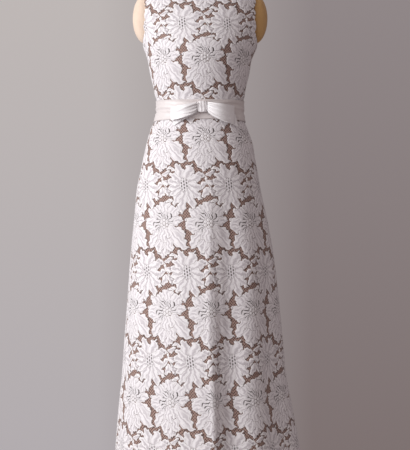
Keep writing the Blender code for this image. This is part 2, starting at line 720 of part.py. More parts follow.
def add_loop(name, loop, collection):
    """A bow loop: out along the sash, round its end and back to the knot in front."""
    knot_x = BOW_X + loop.side * (KNOT_HALF.x + KNOT_CLEARANCE)
    path, tops, bottoms = [], [], []
    for step in range(2 * LOOP_SIDE_POINTS + 1):
        turn = math.pi * step / (2 * LOOP_SIDE_POINTS)
        out = math.sin(turn) ** 0.85
        x = knot_x + loop.side * (loop.length - KNOT_HALF.x) * out
        top, bottom = loop_edges(loop, out)
        stand_off = LOOP_STAND_OFF + (LOOP_OUTER_STAND_OFF - LOOP_STAND_OFF) * out
        back = min(front_of_sash(x, z) for z in (top, BOW_Z, bottom)) - stand_off
        swell = 0.5 + 0.5 * math.sin(math.pi * out)
        path.append((x, back - loop.depth * swell * (1 - math.cos(turn)) / 2))
        tops.append(top)
        bottoms.append(bottom)
    lattice = ribbon_strip(name, path, np.array(tops), np.array(bottoms), LOOP_ACROSS)
    wall = plain_wall(name, lattice, RIBBON_WALL / 2, RIBBON_WALL)
    return finish_turned_out(name, wall, SATIN_WHITE, collection, roughness=0.4)


def finish_turned_out(name, mesh, colour, collection, roughness=0.7, metallic=0.0):
    """Turns a closed mesh's faces outwards, then makes its object."""
    shape = bmesh.new()
    shape.from_mesh(mesh)
    bmesh.ops.recalc_face_normals(shape, faces=shape.faces)
    shape.to_mesh(mesh)
    shape.free()
    return finish_object(name, mesh, colour, collection, roughness, metallic)


def add_tail(name, tail, collection):
    """A ribbon end that comes out under its loop and is cut on a slant."""
    start_x = BOW_X + tail.side * (KNOT_HALF.x + KNOT_CLEARANCE)
    shares = np.linspace(0.0, 1.0, TAIL_POINTS)
    xs = start_x + (tail.tip_x - start_x) * shares
    start_top = -TAIL_DROP + TAIL_KNOT_HALF_HEIGHT
    start_bottom = -TAIL_DROP - TAIL_KNOT_HALF_HEIGHT
    tops = BOW_Z + start_top + (tail.tip_top - start_top) * shares
    bottoms = BOW_Z + start_bottom + (tail.tip_bottom - start_bottom) * shares
    clear = BOW_GAP + RIBBON_WALL + TAIL_STAND_OFF
    path = []
    for x, low in zip(xs, bottoms):
        path.append((x, min(front_of_sash(x, low), front_of_sash(x, BOW_Z)) - clear))
    lattice = ribbon_strip(name, path, tops, bottoms, TAIL_ACROSS)
    slanted = lattice.points.copy()
    slanted[:, -1, 0] += tail.side * tail.slant * np.linspace(1.0, 0.0, TAIL_ACROSS + 1)
    lattice = lattice._replace(points=slanted)
    wall = plain_wall(name, lattice, RIBBON_WALL / 2, RIBBON_WALL)
    finish_turned_out(name, wall, SATIN_WHITE, collection, roughness=0.4)


def add_knot(collection):
    """A soft pillow-shaped knot whose back follows the sash."""
    shape = bmesh.new()
    bmesh.ops.create_cube(shape, size=2.0)
    bmesh.ops.subdivide_edges(shape, edges=shape.edges[:], cuts=3, use_grid_fill=True)
    for vertex in shape.verts:
        side = vertex.co.copy()
        x = BOW_X + side.x * KNOT_HALF.x * (1 - 0.10 * side.x**2 * side.z**2)
        z = BOW_Z + side.z * KNOT_HALF.z * (1 - 0.12 * side.x**2)
        crown = 1 - 0.18 * (side.x**2 + side.z**2) / 2
        vertex.co = Vector((x, front_of_sash(x, z) - BOW_GAP - (1 - side.y) * KNOT_HALF.y * crown, z))
    finish_object("bow_knot", mesh_from_bmesh("bow_knot", shape), SATIN_WHITE, collection, roughness=0.4)


def add_bow(collection):
    add_knot(collection)
    add_loop("bow_loop_left", LEFT_LOOP, collection)
    add_loop("bow_loop_right", RIGHT_LOOP, collection)
    add_tail("bow_tail_left", LEFT_TAIL, collection)
    add_tail("bow_tail_right", RIGHT_TAIL, collection)


def add_zip_tapes(collection):
    """A tape down each side of the centre-back opening, inside the lining."""
    bodice = bodice_lattices()
    skirt = skirt_lattices()
    inside = -LACE_WALL - LAYER_GAP - LINING_WALL - ZIP_TAPE_CLEARANCE
    for side, column, next_column in (("right", -1, -2), ("left", 0, 1)):
        lower = skirt[f"skirt_back_{side}"]
        upper = bodice[f"bodice_back_{side}"]
        rows = []
        for lattice in (lower, upper):
            for points, normals in zip(lattice.points, lattice.normals):
                if not ZIP_BOTTOM_Z <= points[column, 2] <= ZIP_TOP_Z:
                    continue
                edge = Vector(points[column])
                step = Vector(points[next_column]) - edge
                away = step.normalized()
                normal = Vector(normals[column])
                start = edge + normal * inside + away * ZIP_TAPE_GAP / 2
                row = [start, start + away * ZIP_TAPE_WIDTH]
                rows.append([tuple(point) for point in (row if side == "left" else row[::-1])])
        points = np.array(rows)
        keep = np.concatenate([[True], np.diff(points[:, 0, 2]) > 0.002])
        points = points[keep]
        normals = np.tile(np.array([0.0, 1.0, 0.0]), points.shape[:2] + (1,))
        across, up = flat_lengths(points)
        name = f"zip_tape_{side}"
        wall = plain_wall(name, Lattice(points, normals, across, up), 0.0, ZIP_TAPE_WALL)
        finish_turned_out(name, wall, LACE_WHITE, collection)


def back_at(z):
    """The centre-back point of the lace at a height, and the direction down the cloth there."""
    lattice = bodice_lattices()["bodice_back_left"]
    heights = lattice.points[:, 0, 2]
    depths = lattice.points[:, 0, 1]
    y = float(np.interp(z, heights, depths))
    lower = float(np.interp(z - 0.02, heights, depths))
    down = Vector((0.0, lower - y, -0.02)).normalized()
    return Vector((0.0, y, z)), down


def box_shape(shape, size, place):
    made = bmesh.ops.create_cube(shape, size=1.0)["verts"]
    bmesh.ops.scale(shape, verts=made, vec=size)
    bmesh.ops.translate(shape, verts=made, vec=place)


def rod_shape(shape, radius, length, place, sides=16):
    """A rod along X."""
    turned = Matrix.Translation(place) @ Matrix.Rotation(math.pi / 2, 4, "Y")
    bmesh.ops.create_cone(shape, cap_ends=True, segments=sides, radius1=radius, radius2=radius,
                          depth=length, matrix=turned)


def joined(name, adders, cutters=()):
    """Unites small shapes into one mesh with Boolean modifiers, then cuts others from it."""
    scratch = bpy.data.collections.get("cutters") or new_collection("cutters")
    scratch.hide_render = True
    pieces = []
    for build, arguments in tuple(adders) + tuple(cutters):
        shape = bmesh.new()
        build(shape, *arguments)
        piece = bpy.data.objects.new(f"{name}_shape", mesh_from_bmesh(name, shape))
        piece.display_type = "WIRE"
        piece.hide_render = True
        scratch.objects.link(piece)
        pieces.append(piece)
    body = pieces[0]
    for index, other in enumerate(pieces[1:], start=1):
        cut = body.modifiers.new(f"step_{index}", "BOOLEAN")
        cut.object = other
        cut.operation = "UNION" if index < len(adders) else "DIFFERENCE"
    bpy.context.view_layer.update()
    graph = bpy.context.evaluated_depsgraph_get()
    mesh = bpy.data.meshes.new_from_object(body.evaluated_get(graph))
    for piece in pieces:
        bpy.data.objects.remove(piece, do_unlink=True)
    return mesh


def add_zip_head(collection):
    """The slider at the nape and the pull tab that hangs from it. Both lie along the cloth."""
    place, down = back_at(SLIDER_Z)
    lean = Matrix.Rotation(math.atan2(down.y, -down.z), 4, "X")
    seat = Matrix.Translation(place) @ lean
    half = SLIDER_SIZE.y / 2
    pin_y = SLIDER_SIZE.y + SLIDER_EAR.y * 0.5
    ear_x = PULL_EYE_WIDTH / 2 + 0.0003 + SLIDER_EAR.x / 2
    ear_y = SLIDER_SIZE.y + SLIDER_EAR.y / 2 - 0.0002
    pin = Vector((0.0, pin_y, 0.0))
    slider = joined("zip_slider", (
        (box_shape, (SLIDER_SIZE, (0, half, 0))),
        (box_shape, (SLIDER_EAR, (ear_x, ear_y, 0))),
        (box_shape, (SLIDER_EAR, (-ear_x, ear_y, 0))),
        (rod_shape, (PULL_PIN_RADIUS, 2 * ear_x, pin)),
    ))
    tab_middle = Vector((0.0, pin_y, -PULL_NECK - PULL_LENGTH / 2))
    neck_top, neck_bottom = -PULL_EYE_INNER - PULL_LAP, -PULL_NECK - PULL_LAP
    neck_middle = Vector((0.0, pin_y, (neck_top + neck_bottom) / 2))
    pull = joined("zip_pull", (
        (rod_shape, (PULL_EYE_OUTER, PULL_EYE_WIDTH, pin, 20)),
        (box_shape, ((PULL_EYE_WIDTH * 0.8, PULL_THICKNESS * 0.9, neck_top - neck_bottom), neck_middle)),
        (box_shape, ((PULL_WIDTH, PULL_THICKNESS, PULL_LENGTH), tab_middle)),
    ), (
        (rod_shape, (PULL_EYE_INNER, 2 * PULL_EYE_WIDTH, pin, 20)),
    ))
    out = Matrix.Translation((0.0, SLIDER_GAP, 0.0))
    turn = Matrix.Rotation(math.radians(-PULL_REST_TILT), 4, "X")
    tilt = Matrix.Translation(pin) @ turn @ Matrix.Translation(-pin)
    pull.transform(tilt)
    for name, mesh in (("zip_slider", slider), ("zip_pull", pull)):
        mesh.transform(seat @ out)
        finish_object(name, mesh, ZIP_METAL, collection, roughness=0.3, metallic=1.0)
    print("pull pin at", [round(value, 5) for value in seat @ out @ pin])


def form_outline(ring):
    """One ring of the torso, flat at each side where the arms would be."""
    points = []
    for column in range(FORM_COLUMNS):
        angle = 2 * math.pi * (column + 0.5) / FORM_COLUMNS
        x, y = ring_point(ring.half, ring.half, ring.front, ring.back, angle)
        points.append((min(max(x, -FORM_SIDE_X), FORM_SIDE_X), y, ring.z))
    return points


def add_form(collection):
    """The padded torso with its neck, the two arm caps and the neck cap."""
    points = [point for ring in FORM_RINGS for point in form_outline(ring)]
    faces = [tuple(range(FORM_COLUMNS))[::-1]]
    for row in range(len(FORM_RINGS) - 1):
        for column in range(FORM_COLUMNS):
            one = row * FORM_COLUMNS + column
            two = row * FORM_COLUMNS + (column + 1) % FORM_COLUMNS
            faces.append((one, two, two + FORM_COLUMNS, one + FORM_COLUMNS))
    faces.append(tuple(range(len(points) - FORM_COLUMNS, len(points))))
    finish_object("form_torso", mesh_of("form_torso", points, faces), LINEN, collection)
    for side, name in ((-1, "form_arm_cap_left"), (1, "form_arm_cap_right")):
        cap = half_dome((ARM_CAP_BULGE, ARM_CAP_HALF_DEPTH, ARM_CAP_HALF_HEIGHT), (side, 0, 0))
        bmesh.ops.translate(cap, verts=cap.verts[:], vec=(side * ARM_CAP_FACE_X, 0.0, ARM_CAP_CENTRE_Z))
        finish_object(name, mesh_from_bmesh(name, cap), LINEN, collection)
    top = FORM_RINGS[-1]
    cap = half_dome((top.half, (top.front + top.back) / 2, NECK_CAP_BULGE), (0, 0, 1))
    bmesh.ops.translate(cap, verts=cap.verts[:], vec=(0.0, (top.back - top.front) / 2, top.z + STAND_GAP))
    finish_object("form_neck_cap", mesh_from_bmesh("form_neck_cap", cap), LINEN, collection)


def half_dome(radii, direction):
    """Half of a rounded solid, flat on the side away from the direction."""
    shape = bmesh.new()
    turn = Vector((0, 0, 1)).rotation_difference(Vector(direction)).to_matrix().to_4x4()
    bmesh.ops.create_uvsphere(shape, u_segments=20, v_segments=10, radius=1.0, matrix=turn)
    bmesh.ops.scale(shape, verts=shape.verts[:], vec=radii)
    bmesh.ops.bisect_plane(shape, geom=shape.verts[:] + shape.edges[:] + shape.faces[:],
                           plane_co=(0, 0, 0), plane_no=direction, clear_inner=True)
    bmesh.ops.edgeloop_fill(shape, edges=[edge for edge in shape.edges if edge.is_boundary])
    bmesh.ops.recalc_face_normals(shape, faces=shape.faces[:])
    return shape


def turned(name, profile, colour, collection, roughness, metallic):
    """A solid of revolution about the pole, from a profile of radius and height, top to bottom."""
    mesh = bpy.data.meshes.new(name)
    mesh.from_pydata([(radius, 0.0, height) for radius, height in profile],
                     [(at, at + 1) for at in range(len(profile) - 1)], [])
    guide = bpy.data.objects.new(name, mesh)
    collection.objects.link(guide)
    screw = guide.modifiers.new("turned", "SCREW")
    screw.steps = TURNED_STEPS
    screw.render_steps = TURNED_STEPS
    screw.use_merge_vertices = True
    screw.merge_threshold = 0.0001
    bpy.context.view_layer.update()
    solid = bpy.data.meshes.new_from_object(guide.evaluated_get(bpy.context.evaluated_depsgraph_get()))
    bpy.data.objects.remove(guide, do_unlink=True)
    finish_turned_out(name, solid, colour, collection, roughness, metallic)


def add_stand(collection):
    """The pole, the collar under the torso and the weighted base."""
    torso_z = FORM_RINGS[0].z
    rim = 0.004
    base = [(0.0, HUB_HEIGHT), (HUB_RADIUS * 0.6, HUB_HEIGHT), (HUB_RADIUS * 0.8, HUB_HEIGHT * 0.75),
            (HUB_RADIUS, BASE_HEIGHT * 1.25), (HUB_RADIUS * 1.5, BASE_HEIGHT),
            (BASE_RADIUS - 3 * rim, BASE_HEIGHT * 0.7), (BASE_RADIUS - rim, BASE_HEIGHT * 0.6),
            (BASE_RADIUS, BASE_HEIGHT * 0.35), (BASE_RADIUS, 0.0), (0.0, 0.0)]
    turned("stand_base", base, IVORY_METAL, collection, 0.45, 0.0)
    pole_top = torso_z - STAND_GAP
    pole = [(0.0, pole_top), (POLE_RADIUS, pole_top), (POLE_RADIUS, HUB_HEIGHT + STAND_GAP),
            (0.0, HUB_HEIGHT + STAND_GAP)]
    turned("stand_pole", pole, IVORY_METAL, collection, 0.45, 0.0)
    inner = POLE_RADIUS + STAND_GAP
    bottom = pole_top - COLLAR_HEIGHT
    collar = [(inner, pole_top), (COLLAR_RADIUS, pole_top), (COLLAR_RADIUS, pole_top - rim),
              (POLE_RADIUS * 1.5, bottom), (inner, bottom), (inner, pole_top)]
    turned("stand_collar", collar, IVORY_METAL, collection, 0.45, 0.0)


def main():
    clear_scene()
    collection = new_collection("wedding_dress")
    add_dress(collection)
    add_sash(collection)
    add_bow(collection)
    add_zip_tapes(collection)
    add_zip_head(collection)
    add_form(collection)
    add_stand(collection)


main()
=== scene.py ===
"""Looks of a floral lace wedding dress with a ribbon sash and bow, standing on a limbless linen dress form.

Metres, +Z up. X runs to the viewer's right and the dress faces -Y. Cloth is built on the same named rings
and folds as the solids, at a finer step, and the lace is drawn once: on arrays of points it lifts the
flowers, and on shader sockets it colours them.
"""

import logging
import math
from abc import ABC, abstractmethod
from dataclasses import dataclass, field
from enum import Enum
from typing import Any, Callable, Iterable, Sequence

import bpy
import numpy as np
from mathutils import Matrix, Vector


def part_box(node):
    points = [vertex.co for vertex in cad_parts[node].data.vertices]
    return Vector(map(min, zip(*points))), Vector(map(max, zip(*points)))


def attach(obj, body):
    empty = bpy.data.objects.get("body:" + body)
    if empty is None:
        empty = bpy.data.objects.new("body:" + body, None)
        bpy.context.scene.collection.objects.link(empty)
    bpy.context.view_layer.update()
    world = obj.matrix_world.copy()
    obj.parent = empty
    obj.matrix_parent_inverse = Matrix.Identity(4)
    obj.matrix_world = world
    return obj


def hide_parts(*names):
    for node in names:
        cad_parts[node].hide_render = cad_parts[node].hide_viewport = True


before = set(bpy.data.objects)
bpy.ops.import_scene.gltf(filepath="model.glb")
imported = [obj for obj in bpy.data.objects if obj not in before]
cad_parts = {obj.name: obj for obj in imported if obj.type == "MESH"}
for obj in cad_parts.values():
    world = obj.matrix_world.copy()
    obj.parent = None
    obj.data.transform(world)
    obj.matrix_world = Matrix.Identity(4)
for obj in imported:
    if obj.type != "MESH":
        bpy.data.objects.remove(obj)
LOG = logging.getLogger("wedding_dress")

BODY = "dress_and_form"
MM = 0.001

Colour = tuple[float, float, float]


def srgb(red: float, green: float, blue: float) -> Colour:
    """A colour named as it looks on a screen, from 0 to 255, in the renderer's own linear values."""
    shares = (red / 255, green / 255, blue / 255)
    return tuple(((v + 0.055) / 1.055) ** 2.4 if v > 10 / 255 else v / 12.92 for v in shares)


class Socket:
    """A value in a node graph. Arithmetic on it adds Math nodes."""

    def __init__(self, graph: "Graph", link: bpy.types.NodeSocket) -> None:
        """Wraps one output socket of a graph."""
        self.graph = graph
        self.link = link

    def __add__(self, other: "Value") -> "Socket":
        """This plus other."""
        return self.graph.math("ADD", self, other)

    __radd__ = __add__

    def __sub__(self, other: "Value") -> "Socket":
        """This minus other."""
        return self.graph.math("SUBTRACT", self, other)

    def __rsub__(self, other: "Value") -> "Socket":
        """Other minus this."""
        return self.graph.math("SUBTRACT", other, self)

    def __mul__(self, other: "Value") -> "Socket":
        """This times other."""
        return self.graph.math("MULTIPLY", self, other)

    __rmul__ = __mul__

    def __truediv__(self, other: "Value") -> "Socket":
        """This over other."""
        return self.graph.math("DIVIDE", self, other)

    def __rtruediv__(self, other: "Value") -> "Socket":
        """Other over this."""
        return self.graph.math("DIVIDE", other, self)

    def __neg__(self) -> "Socket":
        """This with its sign turned."""
        return self.graph.math("MULTIPLY", self, -1.0)


Value = Socket | float | np.ndarray
Recipe = Callable[..., list[Value]]


class Graph:
    """The node graph of one material, of the world or of a node group."""

    def __init__(self, owner: Any) -> None:
        """Clears the owner's nodes, ready for a new graph.

        Args:
            owner: a material, the world, or the tree of a node group.
        """
        if isinstance(owner, bpy.types.NodeTree):
            self.tree = owner
            return
        owner.use_nodes = True
        self.tree = owner.node_tree
        self.tree.nodes.clear()

    def node(self, kind: str, settings: dict[str, Any], sockets: dict[Any, Any]) -> bpy.types.Node:
        """Adds a node.

        Args:
            kind: the node's type.
            settings: its own settings, which are set first.
            sockets: values or links of its input sockets, by name or number.

        Returns:
            The node.
        """
        made = self.tree.nodes.new(kind)
        for name, value in settings.items():
            setattr(made, name, value)
        for name, value in sockets.items():
            if isinstance(value, Socket):
                self.tree.links.new(value.link, made.inputs[name])
            elif isinstance(value, tuple) and made.inputs[name].type == "RGBA":
                made.inputs[name].default_value = (*value, 1.0)
            else:
                made.inputs[name].default_value = value
        return made

    def out(self, kind: str, settings: dict[str, Any], sockets: dict[Any, Any], name: Any = 0) -> Socket:
        """One output of a new node."""
        return Socket(self, self.node(kind, settings, sockets).outputs[name])

    def math(self, operation: str, *values: Value) -> Socket:
        """A Math node's result."""
        return self.out("ShaderNodeMath", {"operation": operation}, dict(enumerate(values)))

    def mix(self, share: Value, first: Any, second: Any) -> Socket:
        """A colour between two colours."""
        return self.out("ShaderNodeMix", {"data_type": "RGBA"}, {0: share, 6: first, 7: second}, 2)

    def noise(self, place: Socket, scale: float, detail: float = 2.0, roughness: float = 0.5) -> Socket:
        """Soft noise from 0 to 1 at a place."""
        return self.out("ShaderNodeTexNoise", {}, {"Vector": place, "Scale": scale, "Detail": detail,
                                                   "Roughness": roughness}, "Fac")

    def place(self, source: str = "Object") -> Socket:
        """Object coordinates, or the piece's own UV map."""
        return self.out("ShaderNodeTexCoord", {}, {}, source)

    def parts(self, vector: Socket) -> list[Socket]:
        """The three numbers of a vector."""
        split = self.node("ShaderNodeSeparateXYZ", {}, {0: vector})
        return [Socket(self, output) for output in split.outputs]

    def bump(self, height: Value, distance: float, strength: float) -> Socket:
        """A normal bent by a height."""
        return self.out("ShaderNodeBump", {}, {"Height": height, "Distance": distance, "Strength": strength},
                        "Normal")


class Maths(ABC):
    """The sums that the lace drawing needs, on points or on sockets."""

    @abstractmethod
    def apply(self, name: str, *values: Value) -> Value:
        """The result of one named sum."""

    @abstractmethod
    def shared(self, recipe: "Recipe", values: Sequence[Value]) -> list[Value]:
        """The results of a recipe that is used many times."""

    def sin(self, value: Value) -> Value:
        """Sine of an angle in radians."""
        return self.apply("SINE", value)

    def cos(self, value: Value) -> Value:
        """Cosine of an angle in radians."""
        return self.apply("COSINE", value)

    def turn(self, y: Value, x: Value) -> Value:
        """The angle of a point from +X, in radians."""
        return self.apply("ARCTAN2", y, x)

    def root(self, value: Value) -> Value:
        """Square root of what isn't negative."""
        return self.apply("SQRT", self.high(value, 0.0))

    def size(self, value: Value) -> Value:
        """A value without its sign."""
        return self.apply("ABSOLUTE", value)

    def low(self, first: Value, second: Value) -> Value:
        """The lower of two values."""
        return self.apply("MINIMUM", first, second)

    def high(self, first: Value, second: Value) -> Value:
        """The higher of two values."""
        return self.apply("MAXIMUM", first, second)

    def held(self, value: Value) -> Value:
        """A value kept from 0 to 1, without a clamped node, as the renderer has no room for so many."""
        return self.low(self.high(value, 0.0), 1.0)

    def cell(self, value: Value, step: float) -> Value:
        """How far a value lies from the nearest whole number of steps."""
        return value - self.apply("FLOOR", value / step + 0.5) * step

    def ring(self, value: Value, middle: float, half: float) -> Value:
        """1 where a value is at the middle, down to 0 at half away."""
        return self.high(1.0 - self.size(value - middle) / half, 0.0)


class ArrayMaths(Maths):
    """The sums on numpy arrays."""

    SUMS = {"SINE": np.sin, "COSINE": np.cos, "ARCTAN2": np.arctan2, "SQRT": np.sqrt, "ABSOLUTE": np.abs,
            "MINIMUM": np.minimum, "MAXIMUM": np.maximum, "FLOOR": np.floor}

    def apply(self, name: str, *values: Value) -> np.ndarray:
        """The result of one named sum."""
        return self.SUMS[name](*values)

    def shared(self, recipe: "Recipe", values: Sequence[Value]) -> list[Value]:
        """The results of a recipe that is used many times."""
        return recipe(self, *values)


@dataclass
class ShaderMaths(Maths):
    """The sums as Math nodes."""

    graph: Graph

    def apply(self, name: str, *values: Value) -> Socket:
        """The result of one named sum."""
        return self.graph.math(name, *values)

    def shared(self, recipe: "Recipe", values: Sequence[Value]) -> list[Value]:
        """The results of a recipe, which becomes a node group the first time it is used.

        Args:
            recipe: a function of some values that gives a list of values.
            values: what it is given.

        Returns:
            Its results.
        """
        group = bpy.data.node_groups.get(recipe.__name__) or self.make_group(recipe, len(values))
        node = self.graph.node("ShaderNodeGroup", {"node_tree": group}, dict(enumerate(values)))
        return [Socket(self.graph, output) for output in node.outputs]

    @staticmethod
    def make_group(recipe: "Recipe", count: int) -> bpy.types.NodeTree:
        """A node group that works out a recipe of a count of numbers.

        Args:
            recipe: the function.
            count: how many numbers it is given.

        Returns:
            The node group.
        """
        tree = bpy.data.node_groups.new(recipe.__name__, "ShaderNodeTree")
        for at in range(count):
            tree.interface.new_socket(f"given_{at}", in_out="INPUT", socket_type="NodeSocketFloat")
        inner = Graph(tree)
        given = inner.node("NodeGroupInput", {}, {}).outputs
        results = recipe(ShaderMaths(inner), *(Socket(inner, given[at]) for at in range(count)))
        for at in range(len(results)):
            tree.interface.new_socket(f"result_{at}", in_out="OUTPUT", socket_type="NodeSocketFloat")
        inner.node("NodeGroupOutput", {}, dict(enumerate(results)))
        return tree


@dataclass(frozen=True)
class Petal:
    """A petal or leaf in millimetres about its flower's heart, along a ray from its root."""

    turn: float  # degrees anticlockwise from the viewer's right
    length: float
    half: float  # half-width at its broadest
    root: tuple[float, float] = (0.0, 0.0)
    bend: float = 0.0  # how far its tip curls aside
    flare: float = 0.28  # how much broader it is towards its tip
    frill: float = 0.0  # depth of the lobes along its rim
    lobes: float = 2.0
    veins: float = 3.0

    @property
    def numbers(self) -> tuple[float, ...]:
        """What the petal's recipe needs, after the place: its way, its root, its size and its edge."""
        turn = math.radians(self.turn)
        return (math.cos(turn), math.sin(turn), *self.root, 2 / self.length, self.half, self.bend / 4,
                self.flare * self.half, self.frill, math.pi * self.lobes, math.pi * self.veins)


class Layer(Enum):
    """The values that the lace drawing keeps while it lays one petal over another."""

    COVER = "cover"
    CORD = "cord"
    GROOVE = "groove"
    RISE = "rise"
    VEIN = "vein"
    SLIT = "slit"


CORD_HALF = 1.2  # half-width in millimetres of the cord along a rim
GROOVE_HALF = 1.2
PETAL_EDGE = 0.87  # where a petal ends, as a share of its oval
PETAL_SLOPE = 0.55  # turns the share inside a petal into millimetres inside its rim
NOTCH_WAVES = 13.0  # small notches across a petal's tip
NOTCH_DEPTH = 0.055
EYE_HALF = (12.0, 18.5)  # half-width and half-height of a daisy's eye
EYE_PITCH = (7.4, 9.0)
EYE_STAGGER = 0.6  # how far each column of holes is set up, for each millimetre across
FLAMES = 19.0  # curling petals in a whole turn round a bloom's heart


def over(m: Maths, layers: Sequence[Value], depth: Value, rise: Value, vein: Value,
         groove: Value) -> list[Value]:
    """Puts a shape on top: its own values inside it, and a groove just outside its rim, which the lace finish
    darkens as painted shadow.

    Args:
        m: the sums to use.
        layers: the values so far, in the order of Layer.
        depth: millimetres inside its rim, negative outside.
        rise: its height where it covers.
        vein: its vein pattern.
        groove: how deep the groove beside it is, and so how dark its painted shadow.

    Returns:
        The layers with the shape on them.
    """
    cover, cord, grooves, rises, veins, slit = layers
    inside = m.held(depth * 1.4 + 0.5)
    under = 1.0 - inside
    soft = m.held(depth * 0.55 + 0.4)
    return [
        m.high(cover, depth),
        m.high(cord * under, m.ring(depth, 1.1, CORD_HALF)),
        m.high(grooves * under, m.ring(depth, -0.5, GROOVE_HALF) * groove),
        rises * (1.0 - soft) + soft * rise,
        veins * under + inside * vein,
        slit * under,
    ]


def petal_over(m: Maths, x: Value, y: Value, cosine: Value, sine: Value, left: Value, low: Value, pace: Value,
               half: Value, bend: Value, flare: Value, frill: Value, lobes: Value, veins: Value,
               *layers: Value) -> list[Value]:
    """One petal over what is already drawn, from the place and the petal's numbers.

    Args:
        m: the sums to use.
        x, y: millimetres from the heart of its flower.
        cosine, sine: the way it points.
        left, low: where its root is.
        pace: 2 over its length.
        half: its half-width.
        bend: a quarter of how far its tip curls.
        flare: how much it broadens.
        frill, lobes: depth and turns of its lobes.
        veins: turns of its vein pattern.
        layers: the values so far, in the order of Layer.

    Returns:
        The layers with it on them.
    """
    x = x - left
    y = y - low
    way = (x * cosine + y * sine) * pace - 1.0
    aside = y * cosine - x * sine
    aside = aside - (way + 1.0) * (way + 1.0) * bend
    share = aside / (way * flare + half)
    way = way - m.cos(share * lobes) * frill - m.sin(share * NOTCH_WAVES + lobes * 2.0) * NOTCH_DEPTH
    inside = PETAL_EDGE - way * way - share * share
    vein = m.cos(share * veins + m.sin(way * 4.0) * 0.9) * m.held(inside * 1.6)
    edge = m.held(way * 0.5 + 0.75)
    return over(m, layers, inside * half * PETAL_SLOPE, m.held(inside * 1.3) * 0.20 + 0.80, vein, edge)


def bead_over(m: Maths, x: Value, y: Value, left: Value, low: Value, radius: Value, lift: Value,
              *layers: Value) -> list[Value]:
    """A small round stitched bead over what is already drawn.

    Args:
        m: the sums to use.
        x, y: millimetres from the heart of its flower.
        left, low: where its middle is.
        radius: its radius.
        lift: its height at the rim.
        layers: the values so far, in the order of Layer.

    Returns:
        The layers with it on them.
    """
    x = x - left
    y = y - low
    depth = radius - m.root(x * x + y * y)
    return over(m, layers, depth, m.held(depth / 3.0) * 0.5 + lift, 0.0, 1.0)


def eye_over(m: Maths, x: Value, y: Value, *layers: Value) -> list[Value]:
    """A daisy's oval eye, with rows of small holes.

    Args:
        m: the sums to use.
        x, y: millimetres from the heart of its flower.
        layers: the values so far, in the order of Layer.

    Returns:
        The layers with it on them.
    """
    aside, along = x / EYE_HALF[0], y / EYE_HALF[1]
    oval = 1.0 - m.root(aside * aside + along * along)
    results = over(m, layers, oval * 11.0, m.held(oval * 3.0) * 0.5 + 0.7, 0.0, 0.5)
    swayed = x + m.sin(y / 9.0)
    column = m.cell(swayed, EYE_PITCH[0])
    row = m.cell(y + (swayed - column) * EYE_STAGGER, EYE_PITCH[1])
    dot = m.root(column * column * 1.7 + row * row * 0.6)
    ring = m.held((oval - 0.04) * 30.0)
    results[-1] = m.high(results[-1], m.held(2.9 - dot) * ring)
    return results


def flames_over(m: Maths, x: Value, y: Value, *layers: Value) -> list[Value]:
    """Narrow curling petals round the upper side of a bloom's heart, with slits between them that take
    painted shade.

    Args:
        m: the sums to use.
        x, y: millimetres from the heart of its flower.
        layers: the values so far, in the order of Layer.

    Returns:
        The layers with it on them.
    """
    cover, cord, groove, rise, vein, slit = layers
    out = m.root(x * x + y * y)
    angle = m.turn(y, x)
    curl = angle + m.sin(out / 11.0) * 0.22 + m.sin(angle * 3.0 + 0.8) * 0.10
    wave = m.cos(curl * FLAMES)
    upper = m.held((m.sin(angle - 0.42) + 0.62) * 4.0)
    length = out + m.sin(angle * 5.0 + 1.0) * 4.0
    reach = m.held((m.ring(length, 24.0, 17.0) + wave * 0.16 - 0.12) * 6.0) * upper
    gaps = m.held((-wave - 0.40) * 3.0) * m.held(m.ring(length, 21.0, 14.0) * 2.2) * upper
    return [
        cover,
        m.high(cord * (1.0 - reach), m.ring(wave, 0.05, 0.45) * reach * 0.7),
        groove,
        m.high(rise, reach * (0.8 + wave * 0.3)),
        vein * (1.0 - reach),
        m.high(slit * (1.0 - reach), gaps),
    ]


# Broad petals first, those that lie on them after
BLOOM_PETALS = (
    Petal(91, 61, 25, (2, 2), frill=0.08, lobes=2.6, veins=5),
    Petal(139, 63, 19, (-2, 0), frill=0.09, lobes=2, veins=4),
    Petal(48, 61, 18, (4, 2), frill=0.10, lobes=2, veins=4),
    Petal(8, 48, 13, (8, 2), bend=3, frill=0.04, lobes=1.5, veins=3),
    Petal(187, 61, 23, (-3, 0), frill=0.07, lobes=1.6, veins=5),
    Petal(235, 78, 16, (-5, -6), bend=-5, flare=0.38, frill=0.05, lobes=1.2, veins=3),
    Petal(-35, 69, 20, (4, -6), frill=0.11, lobes=2.4, flare=0.4, veins=4),
    Petal(-48, 88, 17, (4, -8), bend=3, flare=0.36, frill=0.08, lobes=1.8, veins=3),
    Petal(268, 70, 24, (-4, -26), frill=0.09, lobes=2.4, flare=0.1, veins=5),
    Petal(243, 46, 15, (-8, -36), bend=7, veins=3),
    Petal(302, 44, 13, (2, -38), bend=-6, veins=3),
    Petal(262, 44, 19, (0, -8), frill=0.07, lobes=1.5, flare=0.35, veins=4),
    Petal(300, 36, 10, (4, -8), bend=-5, veins=2),
)
